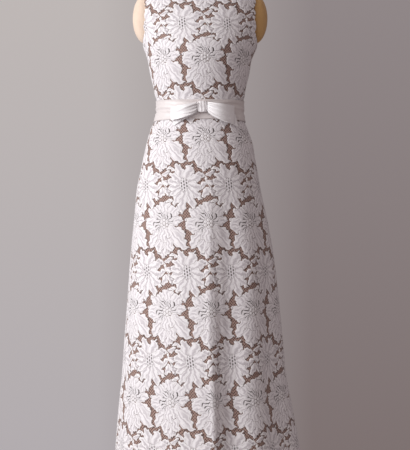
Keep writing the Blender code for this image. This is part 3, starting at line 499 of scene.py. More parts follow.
DAISY_PETALS = (
    Petal(107, 61, 14.5, bend=2, flare=0.4, frill=0.11, lobes=1, veins=2),
    Petal(70, 59, 15, bend=-2, flare=0.42, frill=0.10, lobes=1.1, veins=2),
    Petal(32, 51, 14, bend=-4, flare=0.36, frill=0.09, lobes=1.2, veins=2),
    Petal(-8, 48, 14.5, bend=-3, flare=0.38, frill=0.09, lobes=1.4, veins=2),
    Petal(-43, 60, 12.5, bend=3, frill=0.07, lobes=1, veins=2),
    Petal(-69, 72, 12, bend=2, frill=0.06, lobes=1, veins=2),
    Petal(-96, 79, 13, bend=-3, frill=0.07, lobes=1, veins=2),
    Petal(238, 64, 11.5, bend=3, frill=0.06, lobes=1, veins=2),
    Petal(213, 56, 9, bend=3, veins=1.5),
    Petal(191, 52, 8.5, bend=2, veins=1.5),
    Petal(168, 52, 8.5, bend=-2, veins=1.5),
    Petal(144, 55, 9, bend=-3, veins=1.5),
    Petal(150, 26, 5, (-24, 40), bend=7, veins=1),
    Petal(215, 24, 4.5, (-34, -40), bend=-6, veins=1),
)
SPRIG_LEAVES = (
    Petal(-68, 62, 2.6, (-11, -98), bend=4, flare=0.0, veins=0.5),
    Petal(158, 26, 7.5, (-6, -110), bend=-3, veins=1.2),
    Petal(14, 27, 7.0, (-4, -106), bend=4, veins=1.2),
    Petal(-24, 33, 8.0, (-2, -120), bend=3, veins=1.5),
    Petal(212, 30, 8.0, (0, -126), bend=4, veins=1.5),
    Petal(-50, 32, 9.0, (4, -138), bend=-3, frill=0.06, lobes=1, veins=1.5),
    Petal(238, 32, 9.5, (4, -140), bend=3, frill=0.06, lobes=1, veins=1.5),
    Petal(62, 22, 5.5, (40, -98), bend=5, veins=1.0),
    Petal(118, 24, 5.5, (-40, -104), bend=-5, veins=1.0),
)
ROSETTES = (  # place across and up from the heart, and radius
    (-60.5, 9.0, 4.8), (-50.0, -80.0, 4.4), (24.0, -103.0, 4.0), (-27.0, -101.0, 3.6), (53.0, 28.0, 3.8),
)


@dataclass
class LaceDrawing:
    """The lace in its flat cloth: large blooms in columns, daisies between them, sprigs and rosettes.

    Everything here is in millimetres. The same sums run on arrays of points and on shader sockets.
    """

    maths: Maths
    across_repeat: float = 125.0
    up_repeat: float = 240.0
    bloom_middle: float = -54.0  # the bloom and the sprig under it, about the bloom's heart
    weave_low: float = 11.0  # how far the blooms' petals reach past their column low down, and less higher up
    weave_high: float = -4.0
    daisy_drop: float = -133.0
    net_across: float = 3.7  # pitch of the net's holes
    net_up: float = 4.1
    wander_across: float = 2.0  # how far the hand of the maker moves a rim aside
    wander_up: float = 2.2
    fray: float = 0.7  # the same in the finest waves
    heart_beads: int = 6
    heart_radius: float = 9.3
    layers: dict[Layer, Value] = field(default_factory=dict)

    def draw(self, across: Value, up: Value) -> dict[Layer, Value]:
        """Draws the lace at places of the flat cloth, measured from the heart of one bloom.

        Args:
            across: millimetres to the viewer's right.
            up: millimetres up the cloth.

        Returns:
            The value of each layer there.
        """
        m = self.maths
        self.layers = {layer: across * 0.0 for layer in Layer}
        self.layers[Layer.COVER] = across * 0.0 - 20.0
        bead_x = m.cell(across, self.across_repeat)
        bead_y = m.cell(up, self.up_repeat)
        eye_x = m.cell(across - self.across_repeat / 2, self.across_repeat)
        eye_y = m.cell(up - self.daisy_drop, self.up_repeat)
        across, up = self.worked_by_hand(across, up)
        y = m.cell(up - self.bloom_middle, self.up_repeat) + self.bloom_middle
        weave = self.weave_low + (self.weave_high - self.weave_low) * m.held((y + 45.0) / 40.0)
        x = m.cell(across - weave, self.across_repeat) + weave
        self.lay_bloom(x, y)
        self.lay_beads(bead_x, bead_y)
        x = m.cell(across - self.across_repeat / 2, self.across_repeat)
        y = m.cell(up - self.daisy_drop + 9.0, self.up_repeat) - 9.0
        for petal in DAISY_PETALS:
            self.lay(petal_over, x, y, *petal.numbers)
        self.lay(eye_over, eye_x, eye_y)
        return self.layers

    def worked_by_hand(self, across: Value, up: Value) -> tuple[Value, Value]:
        """Places moved a little aside in waves that fit the repeat, so that no rim is an even curve.

        Args:
            across, up: places of the flat cloth.

        Returns:
            The moved places.
        """
        m = self.maths
        turn_across = 2 * math.pi / self.across_repeat
        turn_up = 2 * math.pi / self.up_repeat
        broad = m.sin(up * (turn_up * 11) + m.sin(across * (turn_across * 3)) * 1.5)
        brisk = m.sin(across * (turn_across * 5) + m.sin(up * (turn_up * 9)) * 1.5)
        ragged = m.sin(up * (turn_up * 26) + m.sin(across * (turn_across * 8)) * 1.2)
        notched = m.sin(across * (turn_across * 14) + m.sin(up * (turn_up * 17)) * 1.2)
        return (across + broad * self.wander_across + ragged * self.fray,
                up + brisk * self.wander_up + notched * self.fray)

    def lay_bloom(self, x: Value, y: Value) -> None:
        """A bloom with its flames, the sprig below it and the rosettes beside it.

        Args:
            x, y: places from the bloom's heart.
        """
        for leaf in SPRIG_LEAVES:
            self.lay(petal_over, x, y, *leaf.numbers)
        for rosette in ROSETTES:
            self.lay(bead_over, x, y, *rosette, 0.5)
        for petal in BLOOM_PETALS:
            self.lay(petal_over, x, y, *petal.numbers)
        self.lay(flames_over, x, y)

    def lay_beads(self, x: Value, y: Value) -> None:
        """The stitched beads of a bloom's heart.

        Args:
            x, y: places from the bloom's heart.
        """
        for bead in range(self.heart_beads):
            turn = math.radians(30 + bead * 360 / self.heart_beads)
            place = (self.heart_radius * math.cos(turn), self.heart_radius * math.sin(turn))
            self.lay(bead_over, x, y, *place, 4.3, 1.0)
        self.lay(bead_over, x, y, 0.0, 0.0, 4.5, 1.15)

    def lay(self, recipe: Recipe, *values: Value) -> None:
        """Lays one shape over what is already drawn."""
        results = self.maths.shared(recipe, [*values, *self.layers.values()])
        self.layers = dict(zip(Layer, results))

    def net_holes(self, across: Value, up: Value) -> Value:
        """How much of a hole of the net is at a place, from 0 at its threads to 1.

        Args:
            across, up: places of the flat cloth.

        Returns:
            The share of a hole.
        """
        m = self.maths
        lattice = m.cos(across * (math.pi / self.net_across)) * m.cos(up * (math.pi / self.net_up))
        return m.held((lattice - 0.12) * 3.0)


@dataclass(frozen=True)
class LaceFinish:
    """White corded lace flowers on a rosy taupe net, read from the cloth's own flat coordinates, with painted
    shadow in the grooves, painted shade in the holes and slits and a painted highlight on the cords.
    """

    name: str = "floral_lace"
    fill: Colour = srgb(243, 239, 241)
    fill_shade: Colour = srgb(196, 189, 193)
    # the rim cords a little lighter than the fill: a painted highlight where they stand up
    cord: Colour = srgb(250, 248, 248)
    # painted shadow in the groove just outside each flower's rim
    groove: Colour = srgb(120, 102, 104)
    net: Colour = srgb(168, 140, 130)
    # painted shade: the lining seen in shadow through the net's holes, the daisies' eye holes and the slits
    hole: Colour = srgb(52, 36, 34)

    def build(self) -> bpy.types.Material:
        """The material.

        Returns:
            The material, which reads the piece's own coordinates only.
        """
        material = bpy.data.materials.new(self.name)
        graph = Graph(material)
        flat = graph.place("UV")
        across, up, _ = graph.parts(flat)
        drawing = LaceDrawing(ShaderMaths(graph))
        across, up = across * (1 / MM), up * (1 / MM)
        layers = drawing.draw(across, up)
        maths = drawing.maths
        holes = drawing.net_holes(across, up)
        shade = maths.held(0.35 + layers[Layer.VEIN] * 0.55)
        fill = graph.mix(shade, self.fill, self.fill_shade)
        # painted highlight on the raised rim cords
        fill = graph.mix(maths.held(layers[Layer.CORD]), fill, self.cord)
        # painted shadow in the grooves beside the rims, on the petals and on the net
        groove = maths.held(layers[Layer.GROOVE])
        fill = graph.mix(groove * 0.75, fill, self.groove)
        # the net's holes and the groove beside each flower take the painted shade of the lining behind
        net = graph.mix(maths.high(holes, groove * 0.7), self.net, self.hole)
        colour = graph.mix(maths.held(layers[Layer.COVER] * 2.0 + 0.5), net, fill)
        # the slits and the daisies' eye holes take the same painted shade
        colour = graph.mix(maths.held(layers[Layer.SLIT] * 0.9), colour, self.hole)
        grain = graph.noise(flat, 900.0, 3.0)
        slub = graph.noise(flat, 240.0, 2.0)
        height = grain * 0.6 + slub * 0.6 - holes * 0.35
        shader = graph.node("ShaderNodeBsdfPrincipled", {}, {
            "Base Color": colour, "Roughness": grain * 0.15 + 0.66, "Sheen Weight": 0.25,
            "Sheen Roughness": 0.5, "Specular IOR Level": 0.3,
            "Normal": graph.bump(height, 0.0006, 0.5)})
        finish_graph(graph, shader)
        return material


def finish_graph(graph: Graph, shader: bpy.types.Node) -> None:
    """Joins a surface shader to the material's output."""
    graph.node("ShaderNodeOutputMaterial", {}, {"Surface": Socket(graph, shader.outputs[0])})


@dataclass(frozen=True)
class WovenFinish:
    """A plain weave with slubs and a soft sheen, as on the lining, the tapes and the form's linen."""

    name: str
    light: Colour
    dark: Colour
    threads: float  # threads a metre
    roughness: float = 0.8
    sheen: float = 0.2
    depth: float = 0.0003
    flat: bool = True  # woven along the piece's UV map, or along the object's axes
    age: Colour | None = None  # a warm amber tone towards the viewer's right: painted shade with warm reflected light on that side

    def build(self) -> bpy.types.Material:
        """The material.

        Returns:
            The material, which reads the piece's own coordinates only.
        """
        material = bpy.data.materials.new(self.name)
        graph = Graph(material)
        maths = ShaderMaths(graph)
        place = graph.place("UV" if self.flat else "Object")
        first, second, third = graph.parts(place)
        if not self.flat:
            second = third
            first = first + graph.parts(place)[1]
        turn = 2 * math.pi * self.threads
        warp = maths.sin(first * turn)
        weft = maths.sin(second * turn)
        weave = warp * weft * 0.5 + 0.5
        slub = graph.noise(place, self.threads / 14, 3.0, 0.6)
        cloud = graph.noise(place, 9.0, 3.0, 0.55)
        share = maths.held(weave * 0.35 + slub * 0.5 + cloud * 0.5 - 0.25)
        colour = graph.mix(share, self.light, self.dark)
        if self.age is not None:
            # painted shade: the cloth turns amber towards the viewer's right, mottled by the cloud noise
            x = graph.parts(graph.place())[0]
            right_shade_share = maths.held((x - 0.10) * 18.0 + cloud - 0.5)
            colour = graph.mix(right_shade_share * 0.85, colour, self.age)
        shader = graph.node("ShaderNodeBsdfPrincipled", {}, {
            "Base Color": colour, "Roughness": self.roughness + (slub - 0.5) * 0.15,
            "Sheen Weight": self.sheen, "Sheen Roughness": 0.4,
            "Normal": graph.bump(weave + slub, self.depth, 0.6)})
        finish_graph(graph, shader)
        return material


@dataclass(frozen=True)
class SatinFinish:
    """White satin ribbon: fine cross threads, a soft gloss along it and faint handling creases."""

    name: str = "satin_ribbon"
    light: Colour = srgb(250, 248, 249)
    dark: Colour = srgb(232, 226, 228)

    def build(self) -> bpy.types.Material:
        """The material.

        Returns:
            The material, which reads the piece's own coordinates only.
        """
        material = bpy.data.materials.new(self.name)
        graph = Graph(material)
        maths = ShaderMaths(graph)
        flat = graph.place("UV")
        along, across, _ = graph.parts(flat)
        threads = maths.sin(along * (2 * math.pi * 1400)) * 0.5 + 0.5
        selvedge = maths.held((maths.size(across) - 0.0255) * 900.0)
        handled = graph.noise(flat, 38.0, 4.0, 0.6)
        share = maths.held(handled * 0.9 - 0.2 + threads * 0.12)
        colour = graph.mix(share, self.light, self.dark)
        colour = graph.mix(selvedge * 0.35, colour, self.dark)
        shader = graph.node("ShaderNodeBsdfPrincipled", {}, {
            "Base Color": colour, "Roughness": handled * 0.16 + 0.30, "Sheen Weight": 0.15,
            "Specular IOR Level": 0.55, "Anisotropic": 0.4,
            "Normal": graph.bump(handled * 1.5 + threads * 0.12, 0.0010, 0.35)})
        finish_graph(graph, shader)
        return material


@dataclass(frozen=True)
class HardFinish:
    """Painted or plated metal with faint brush marks and worn high spots."""

    name: str
    colour: Colour
    worn: Colour
    metallic: float
    roughness: float
    grain: float = 300.0

    def build(self) -> bpy.types.Material:
        """The material.

        Returns:
            The material, which reads the piece's own coordinates only.
        """
        material = bpy.data.materials.new(self.name)
        graph = Graph(material)
        maths = ShaderMaths(graph)
        place = graph.place()
        brushed = graph.out("ShaderNodeMapping", {}, {"Vector": place, "Scale": (1.0, 1.0, 0.06)})
        marks = graph.noise(brushed, self.grain, 4.0, 0.6)
        wear = graph.noise(place, 24.0, 4.0, 0.6)
        colour = graph.mix(maths.held((wear - 0.52) * 4.0) * 0.5, self.colour, self.worn)
        shader = graph.node("ShaderNodeBsdfPrincipled", {}, {
            "Base Color": colour, "Metallic": self.metallic,
            "Roughness": marks * 0.2 + (self.roughness - 0.1),
            "Normal": graph.bump(marks, 0.0002, 0.3)})
        finish_graph(graph, shader)
        return material


# the sash's band: the bow's satin toned darker, painted shade that sets it back behind the bow
SHADED_BAND = SatinFinish("sash_satin_shaded", srgb(234, 227, 226), srgb(204, 194, 192))
LINING = WovenFinish("taupe_lining", srgb(176, 142, 124), srgb(146, 112, 96), 2200, roughness=0.5)
TAPE = WovenFinish("zip_tape", srgb(226, 222, 218), srgb(196, 190, 186), 1300)
# the form's linen carries painted warm shade on the viewer's right side
LINEN = WovenFinish("form_linen", srgb(246, 226, 208), srgb(226, 200, 178), 1100, flat=False, depth=0.0004,
                    age=srgb(206, 158, 84))
PAINT = HardFinish("stand_paint", srgb(226, 222, 212), srgb(196, 188, 172), 0.0, 0.45, 120.0)
METAL = HardFinish("zip_metal", srgb(208, 206, 202), srgb(176, 172, 164), 1.0, 0.32, 900.0)


@dataclass
class ClothGrid:
    """A panel of cloth as rows that go up and columns that go round it."""

    points: np.ndarray
    normals: np.ndarray
    flat: np.ndarray  # across and up the flat cloth, in metres

    @property
    def flat_size(self) -> tuple[float, float]:
        """Width and length of the smallest flat piece of cloth that it is cut from.

        Returns:
            Both sizes in metres.
        """
        width = np.linalg.norm(np.diff(self.points, axis=1), axis=2).sum(axis=1).max()
        length = np.linalg.norm(np.diff(self.points, axis=0), axis=2).sum(axis=0).max()
        return math.ceil(float(width) * 2000) / 2000, math.ceil(float(length) * 2000) / 2000

    @property
    def area(self) -> float:
        """Flat area of the cut, in square metres.

        Returns:
            The sum over the grid's faces.
        """
        ahead = self.points[:-1, 1:] - self.points[:-1, :-1]
        upwards = self.points[1:, :-1] - self.points[:-1, :-1]
        return float(np.linalg.norm(np.cross(ahead, upwards), axis=2).sum())

    def moved(self, offset: float | np.ndarray) -> "ClothGrid":
        """The same panel moved out along its normals."""
        reach = np.asarray(offset)[..., None] if np.ndim(offset) else offset
        return ClothGrid(self.points + self.normals * reach, self.normals, self.flat)


def grid_normals(points: np.ndarray) -> np.ndarray:
    """Outward normals of a grid of points."""
    normals = np.cross(np.gradient(points, axis=1), np.gradient(points, axis=0))
    return normals / np.maximum(np.linalg.norm(normals, axis=2, keepdims=True), 1e-12)


def smooth_curve(known: Sequence[float], values: Sequence[float], wanted: np.ndarray) -> np.ndarray:
    """A cubic through a column of a table, so that rings flow into each other.

    Args:
        known: where the column has values.
        values: the column.
        wanted: where to read it.

    Returns:
        The values there.
    """
    known, values = np.asarray(known, float), np.asarray(values, float)
    slopes = np.gradient(values, known)
    place = np.clip(np.searchsorted(known, wanted) - 1, 0, len(known) - 2)
    step = known[place + 1] - known[place]
    share = np.clip((wanted - known[place]) / step, 0.0, 1.0)
    low = values[place] * (1 + 2 * share) * (1 - share) ** 2
    high = values[place + 1] * share**2 * (3 - 2 * share)
    lean = slopes[place] * step * share * (1 - share) ** 2
    fall = slopes[place + 1] * step * share**2 * (share - 1)
    return low + high + lean + fall


def flat_lengths(points: np.ndarray, zero: float) -> np.ndarray:
    """How far each point lies across and up the flat cloth, across from a place given in columns.

    Args:
        points: the grid of the cloth.
        zero: the column, or between columns, that counts as 0.

    Returns:
        Both lengths of each point.
    """
    steps = np.linalg.norm(np.diff(points, axis=1), axis=2)
    across = np.concatenate([np.zeros((len(points), 1)), np.cumsum(steps, axis=1)], axis=1)
    columns = np.arange(points.shape[1])
    across -= np.array([[np.interp(zero, columns, row)] for row in across])
    rises = np.linalg.norm(np.diff(points, axis=0), axis=2).mean(axis=1)
    up = points[0, :, 2].mean() + np.concatenate([[0.0], np.cumsum(rises)])
    return np.stack([across, np.repeat(up[:, None], points.shape[1], axis=1)], axis=2)


def deselect() -> None:
    """Leaves nothing selected, so that the next operator acts on its own piece only."""
    for thing in list(bpy.context.selected_objects):
        thing.select_set(False)


def select_only(piece: bpy.types.Object) -> None:
    """Selects one piece and makes it active.

    Args:
        piece: the piece.
    """
    deselect()
    piece.select_set(True)
    bpy.context.view_layer.objects.active = piece


def place_in_mesh(piece: bpy.types.Object) -> None:
    """Applies a piece's place, turn and size to its mesh, so that its object sits at the origin."""
    select_only(piece)
    bpy.ops.object.transform_apply(location=True, rotation=True, scale=True)


def apply_modifiers(piece: bpy.types.Object) -> None:
    """Applies a piece's modifiers in order.

    Args:
        piece: the piece.
    """
    select_only(piece)
    for modifier in list(piece.modifiers):
        bpy.ops.object.modifier_apply(modifier=modifier.name)


def grid_quads(rows: int, columns: int, closed: bool = False) -> np.ndarray:
    """Corner numbers of a grid's four-sided faces, facing outwards.

    Args:
        rows, columns: the size of the grid.
        closed: whether the last column joins the first.

    Returns:
        Four numbers for each face.
    """
    span = columns if closed else columns - 1
    row, column = np.meshgrid(np.arange(rows - 1), np.arange(span), indexing="ij")
    beside = (column + 1) % columns
    corners = (row * columns + column, row * columns + beside,
               (row + 1) * columns + beside, (row + 1) * columns + column)
    return np.stack(corners, axis=2).reshape(-1, 4)


def mesh_piece(name: str, points: np.ndarray, quads: np.ndarray, flat: np.ndarray | None,
               material: bpy.types.Material, caps: Iterable[Sequence[int]] = ()) -> bpy.types.Object:
    """Makes the object of one piece from its points and faces, shaded smooth.

    Args:
        name: the piece's name.
        points: its points, a row each.
        quads: corner numbers of its four-sided faces.
        flat: flat coordinates of each point, or None for a piece without a UV map.
        material: its finish.
        caps: corner numbers of further faces.

    Returns:
        The object.
    """
    mesh = bpy.data.meshes.new(name)
    caps = [np.asarray(cap) for cap in caps]
    corners = np.concatenate([quads.reshape(-1), *caps]) if caps else quads.reshape(-1)
    sizes = np.concatenate([np.full(len(quads), 4), [len(cap) for cap in caps]]).astype(np.int32)
    mesh.vertices.add(len(points))
    mesh.vertices.foreach_set("co", points.astype(np.float32).ravel())
    mesh.loops.add(len(corners))
    mesh.loops.foreach_set("vertex_index", corners.astype(np.int32))
    mesh.polygons.add(len(sizes))
    mesh.polygons.foreach_set("loop_start", np.concatenate([[0], np.cumsum(sizes)[:-1]]).astype(np.int32))
    mesh.polygons.foreach_set("use_smooth", np.ones(len(sizes), bool))
    if flat is not None:
        layer = mesh.uv_layers.new(name="flat_cloth")
        layer.data.foreach_set("uv", flat[corners].astype(np.float32).ravel())
    mesh.update(calc_edges=True)
    mesh.validate()
    mesh.materials.append(material)
    piece = bpy.data.objects.new(name, mesh)
    bpy.context.scene.collection.objects.link(piece)
    return piece


def cloth_piece(name: str, grid: ClothGrid, wall: float, material: bpy.types.Material) -> bpy.types.Object:
    """A sheet of cloth whose rim turns in by its wall, so that its edges show its thickness.

    Args:
        name: the piece's name.
        grid: its outer face.
        wall: how far its rim turns in.
        material: its finish.

    Returns:
        The piece.
    """
    points = np.pad(grid.points, ((1, 1), (1, 1), (0, 0)), mode="edge")
    normals = np.pad(grid.normals, ((1, 1), (1, 1), (0, 0)), mode="edge")
    flat = np.pad(grid.flat, ((1, 1), (1, 1), (0, 0)), mode="edge")
    rim = np.ones(points.shape[:2], bool)
    rim[1:-1, 1:-1] = False
    points[rim] -= normals[rim] * wall
    rows, columns = points.shape[:2]
    return mesh_piece(name, points.reshape(-1, 3), grid_quads(rows, columns), flat.reshape(-1, 2), material)


def report(piece: bpy.types.Object) -> None:
    """Logs a finished piece."""
    LOG.info("%s: %d points, %d faces", piece.name, len(piece.data.vertices), len(piece.data.polygons))


def dress_piece(piece: bpy.types.Object, nodes: Sequence[str] = ()) -> None:
    """Attaches a piece to the body that it rides on, hides the solids that it stands for and logs it.

    Args:
        piece: the piece.
        nodes: the solids that it stands for.
    """
    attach(piece, BODY)
    if nodes:
        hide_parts(*nodes)
    report(piece)


LACE_WALL = 0.0012
LACE_RELIEF = 0.0014  # how far a flower stands out of the net
LAYER_GAP = 0.0004  # between the lace and its lining
LINING_WALL = 0.0010
SEAM_GAP = 0.0003  # between panels at a seam
RIBBON_WALL = 0.0012
WAIST_Z = 1.055
FACE_X = 0.014  # the camera's own place across


@dataclass(frozen=True)
class Lay:
    """Where the lace drawing lies on a part of the dress: one bloom's heart, and the lean of its columns."""

    heart_x: float
    heart_z: float
    lean: float = 0.0


@dataclass
class LacePanels:
    """What the skirt and the bodice share: a lace panel and a lining panel from one grid."""

    lace: bpy.types.Material
    lining: bpy.types.Material
    sash_clear: float = 0.034  # no flower stands proud this near the waist

    def relief(self, grid: ClothGrid) -> np.ndarray:
        """How far the lace stands out of its net at each point.

        Args:
            grid: the cloth.

        Returns:
            Metres out.
        """
        drawing = LaceDrawing(ArrayMaths())
        layers = drawing.draw(grid.flat[..., 0] / MM, grid.flat[..., 1] / MM)
        rise = layers[Layer.RISE] - 0.45 * np.clip(layers[Layer.GROOVE], 0, 1)
        rise = rise + 0.30 * layers[Layer.CORD] + 0.10 * layers[Layer.VEIN] - 0.5 * layers[Layer.SLIT]
        away = np.abs(grid.points[..., 2] - WAIST_Z)
        free = np.clip((away - self.sash_clear) / 0.010, 0.15, 1.0)
        return np.clip(rise, -0.2, 2.0) * free * LACE_RELIEF

    def add_panel(self, name: str, grid: ClothGrid, lining_step: int) -> list[bpy.types.Object]:
        """The lace of one panel and the lining behind it, each made as a sheet of cloth.

        Args:
            name: the panel's name.
            grid: the net of its lace.
            lining_step: how many of the lace's steps make one of the lining's.

        Returns:
            Lace and lining.
        """
        lace = cloth_piece(f"{name}_lace", grid.moved(self.relief(grid)), LACE_WALL, self.lace)
        rows = np.unique(np.r_[0:len(grid.points):lining_step, len(grid.points) - 1])
        columns = np.unique(np.r_[0:grid.points.shape[1]:lining_step, grid.points.shape[1] - 1])
        kept = np.ix_(rows, columns)
        coarse = ClothGrid(grid.points[kept], grid.normals[kept], grid.flat[kept])
        behind = coarse.moved(-LACE_WALL - LAYER_GAP)
        lining = cloth_piece(f"{name}_cloth", behind, LINING_WALL, self.lining)
        dress_piece(lace, [name])
        dress_piece(lining, [f"{name}_lining"])
        grid.flat_size
        grid.area
        behind.flat_size
        behind.area
        return [lace, lining]


@dataclass(frozen=True)
class Fold:
    """A crest or hollow of the skirt: its angle from the front centre at hip and hem, and its reach out."""

    hip: float
    hem: float
    out: float


@dataclass(frozen=True)
class Crease:
    """A soft crease or ripple that lies over the folds: where it is, how wide, and where it fades."""

    hem: float
    half: float
    out: float
    bottom: float
    top: float


SKIRT_RINGS = (  # height, half-width to the viewer's left and right, depth to the front and back
    (0.028, 0.242, 0.294, 0.250, 0.280), (0.126, 0.2366, 0.2765, 0.238, 0.264),
    (0.206, 0.2305, 0.262, 0.229, 0.252), (0.285, 0.2225, 0.246, 0.220, 0.240),
    (0.405, 0.2140, 0.2340, 0.203, 0.220), (0.525, 0.2050, 0.2220, 0.186, 0.201),
    (0.645, 0.1965, 0.2080, 0.168, 0.180), (0.764, 0.1850, 0.1860, 0.148, 0.160),
    (0.844, 0.1770, 0.1690, 0.134, 0.148), (0.884, 0.1685, 0.1625, 0.127, 0.140),
    (0.924, 0.1600, 0.1550, 0.119, 0.132), (0.964, 0.1510, 0.1485, 0.112, 0.121),
    (1.004, 0.1395, 0.1345, 0.104, 0.108), (1.032, 0.1280, 0.1255, 0.097, 0.096),
    (1.055, 0.1226, 0.1226, 0.092, 0.088),
)
FOLDS = (
    Fold(-90, -90, 0.0), Fold(-64, -50, 0.006), Fold(-38, -26, -0.008), Fold(-12, -8, 0.001),
    Fold(9.5, 7.7, 0.011), Fold(24, 17, -0.012), Fold(44, 32, 0.009), Fold(61, 54, -0.008),
    Fold(76, 76, 0.005), Fold(90, 90, 0.0), Fold(103, 104, 0.006), Fold(119, 121, -0.010),
    Fold(136, 139, 0.012), Fold(152, 154, -0.010), Fold(166, 168, 0.007), Fold(180, 180, -0.004),
    Fold(195, 193, 0.009), Fold(209, 208, -0.011), Fold(226, 225, 0.011), Fold(244, 243, -0.008),
    Fold(258, 258, 0.005), Fold(270, 270, 0.0),
)
CREASES = (
    Crease(-72, 5, 0.0025, 0.0, 0.55), Crease(-40, 4, -0.0020, 0.2, 0.8), Crease(-17, 4, 0.0018, 0.0, 0.6),
    Crease(10.6, 1.8, -0.0034, 0.0, 0.82), Crease(6.4, 2.0, 0.0036, 0.0, 0.88),
    Crease(24, 3, 0.0018, 0.0, 0.5), Crease(43, 4, -0.0022, 0.0, 0.62), Crease(66, 4, 0.0026, 0.0, 0.45),
    Crease(84, 4, -0.0020, 0.1, 0.7), Crease(97, 4, 0.0022, 0.0, 0.5), Crease(112, 4, -0.0020, 0.0, 0.7),
    Crease(130, 3, 0.0024, 0.0, 0.6), Crease(147, 4, -0.0024, 0.1, 0.8), Crease(173, 3, 0.0020, 0.0, 0.5),
    Crease(187, 3, 0.0022, 0.0, 0.6), Crease(201, 4, -0.0022, 0.0, 0.8), Crease(217, 3, 0.0024, 0.0, 0.55),
    Crease(235, 4, -0.0020, 0.0, 0.7),
    Crease(262, 4, 0.0020, 0.0, 0.5),
)


@dataclass
class Skirt(LacePanels):
    """The floor-length skirt: one front panel and two back panels, falling in soft uneven folds."""

    hem_z: float = 0.028
    fold_start_z: float = 0.90
    fold_ease: float = 1.6
    rows: int = 335
    scallop: float = 0.031
    scallop_depth: float = 0.0045
    lay: Lay = Lay(0.0425, 0.263, -0.034)
    panels: tuple[tuple[str, float, float, int], ...] = (
        ("skirt_front", -90, 90, 280), ("skirt_back_right", 90, 180, 148), ("skirt_back_left", 180, 270, 148))

    def reach(self, hem: np.ndarray, heights: np.ndarray, depth: np.ndarray) -> np.ndarray:
        """How far folds and creases move each point out.

        Args:
            hem: angles at the hem, in degrees.
            heights: heights in metres.
            depth: 0 where the folds start, to 1 at the hem.

        Returns:
            Metres out.
        """
        fold_hems = np.array([fold.hem for fold in FOLDS])
        outs = np.array([fold.out for fold in FOLDS])
        place = np.clip(np.searchsorted(fold_hems, hem, side="right") - 1, 0, len(FOLDS) - 2)
        share = (hem - fold_hems[place]) / (fold_hems[place + 1] - fold_hems[place])
        ease = (1 - np.cos(np.pi * np.clip(share, 0, 1))) / 2
        out = outs[place] + (outs[place + 1] - outs[place]) * ease
        total = out * (1 - (1 - depth) ** self.fold_ease)
        for crease in CREASES:
            level = (crease.top - heights) / (crease.top - crease.bottom)
            window = np.clip(level * 2.2, 0, 1) * np.clip(1.6 - level * 0.8, 0, 1)
            sway = crease.half * 0.5 * np.sin(heights * 9 + crease.hem)
            total = total + crease.out * window * np.exp(-(((hem - crease.hem - sway) / crease.half) ** 2))
        return total

    def points(self, hem: np.ndarray, heights: np.ndarray) -> np.ndarray:
        """Outer surface of the skirt.

        Args:
            hem: angles from the front centre at the hem, in degrees.
            heights: heights, as a grid that matches the angles.

        Returns:
            The points of the grid.
        """
        table = list(zip(*SKIRT_RINGS))
        left, right, front, back = (smooth_curve(table[0], column, heights) for column in table[1:])
        depth = np.clip((self.fold_start_z - heights) / (self.fold_start_z - self.hem_z), 0.0, 1.0)
        hip = np.interp(hem, [fold.hem for fold in FOLDS], [fold.hip for fold in FOLDS])
        angle = np.radians(hip + (hem - hip) * depth)
        sine, cosine = np.sin(angle), np.cos(angle)
        x = np.where(sine > 0, right, left) * sine
        y = -np.where(cosine > 0, front, back) * cosine
        grow = 1 + self.reach(hem, heights, depth) / np.hypot(x, y)
        return np.stack([x * grow, y * grow, heights], axis=2)

    def grid(self, first: float, last: float, columns: int) -> ClothGrid:
        """The grid of one panel from seam to seam, with a scalloped hem.

        Args:
            first, last: the seams' angles at the hem, in degrees.
            columns: how many columns it has.

        Returns:
            The panel.
        """
        hems = np.linspace(first, last, columns)
        shares = np.linspace(0.0, 1.0, self.rows)
        turns = np.radians(hems) * 0.27 / self.scallop
        lift = self.scallop_depth * (1 - np.sqrt(np.abs(np.sin(np.pi * turns))))
        bottom = self.hem_z + lift
        heights = bottom[None, :] + (WAIST_Z - 0.0002 - bottom[None, :]) * shares[:, None]
        hem = np.repeat(hems[None, :], self.rows, axis=0)
        points = self.points(hem, heights)
        normals = grid_normals(points)
        middle = np.radians(0.0 if first < 0 else 180.0)
        zero = float(np.interp(np.degrees(middle), hems, np.arange(columns)))
        flat = flat_lengths(points, zero)
        heart_up = float(np.interp(self.lay.heart_z, points[:, columns // 2, 2], flat[:, columns // 2, 1]))
        flat[..., 0] -= self.lay.heart_x + self.lay.lean * (flat[..., 1] - heart_up)
        flat[..., 1] -= heart_up
        for edge, inner in ((0, 1), (-1, -2)):
            step = points[:, inner] - points[:, edge]
            points[:, edge] += step / np.linalg.norm(step, axis=1, keepdims=True) * SEAM_GAP / 2
        return ClothGrid(points, normals, flat)

    def build(self) -> None:
        """Builds and dresses the three panels of lace and their linings."""
        for name, first, last, columns in self.panels:
            self.add_panel(name, self.grid(first, last, columns), lining_step=3)


BODICE_ROWS = (  # height, half-width left and right, depth front and back, where it ends front and back
    (1.0552, 0.1226, 0.1226, 0.0920, 0.0880, 90, 90), (1.0835, 0.1236, 0.1236, 0.0962, 0.0905, 90, 90),
    (1.1200, 0.1308, 0.1288, 0.1065, 0.0952, 90, 90), (1.1650, 0.1415, 0.1392, 0.1220, 0.1002, 90, 90),
    (1.2050, 0.1485, 0.1465, 0.1325, 0.1045, 90, 90), (1.2374, 0.1596, 0.1600, 0.1310, 0.1080, 90, 90),
    (1.2620, 0.1660, 0.1655, 0.1250, 0.1110, 72, 70), (1.2900, 0.1715, 0.1710, 0.1160, 0.1130, 66.5, 64),
    (1.3200, 0.1735, 0.1730, 0.1060, 0.1120, 64, 62), (1.3500, 0.1730, 0.1725, 0.0950, 0.1070, 65, 63),
)


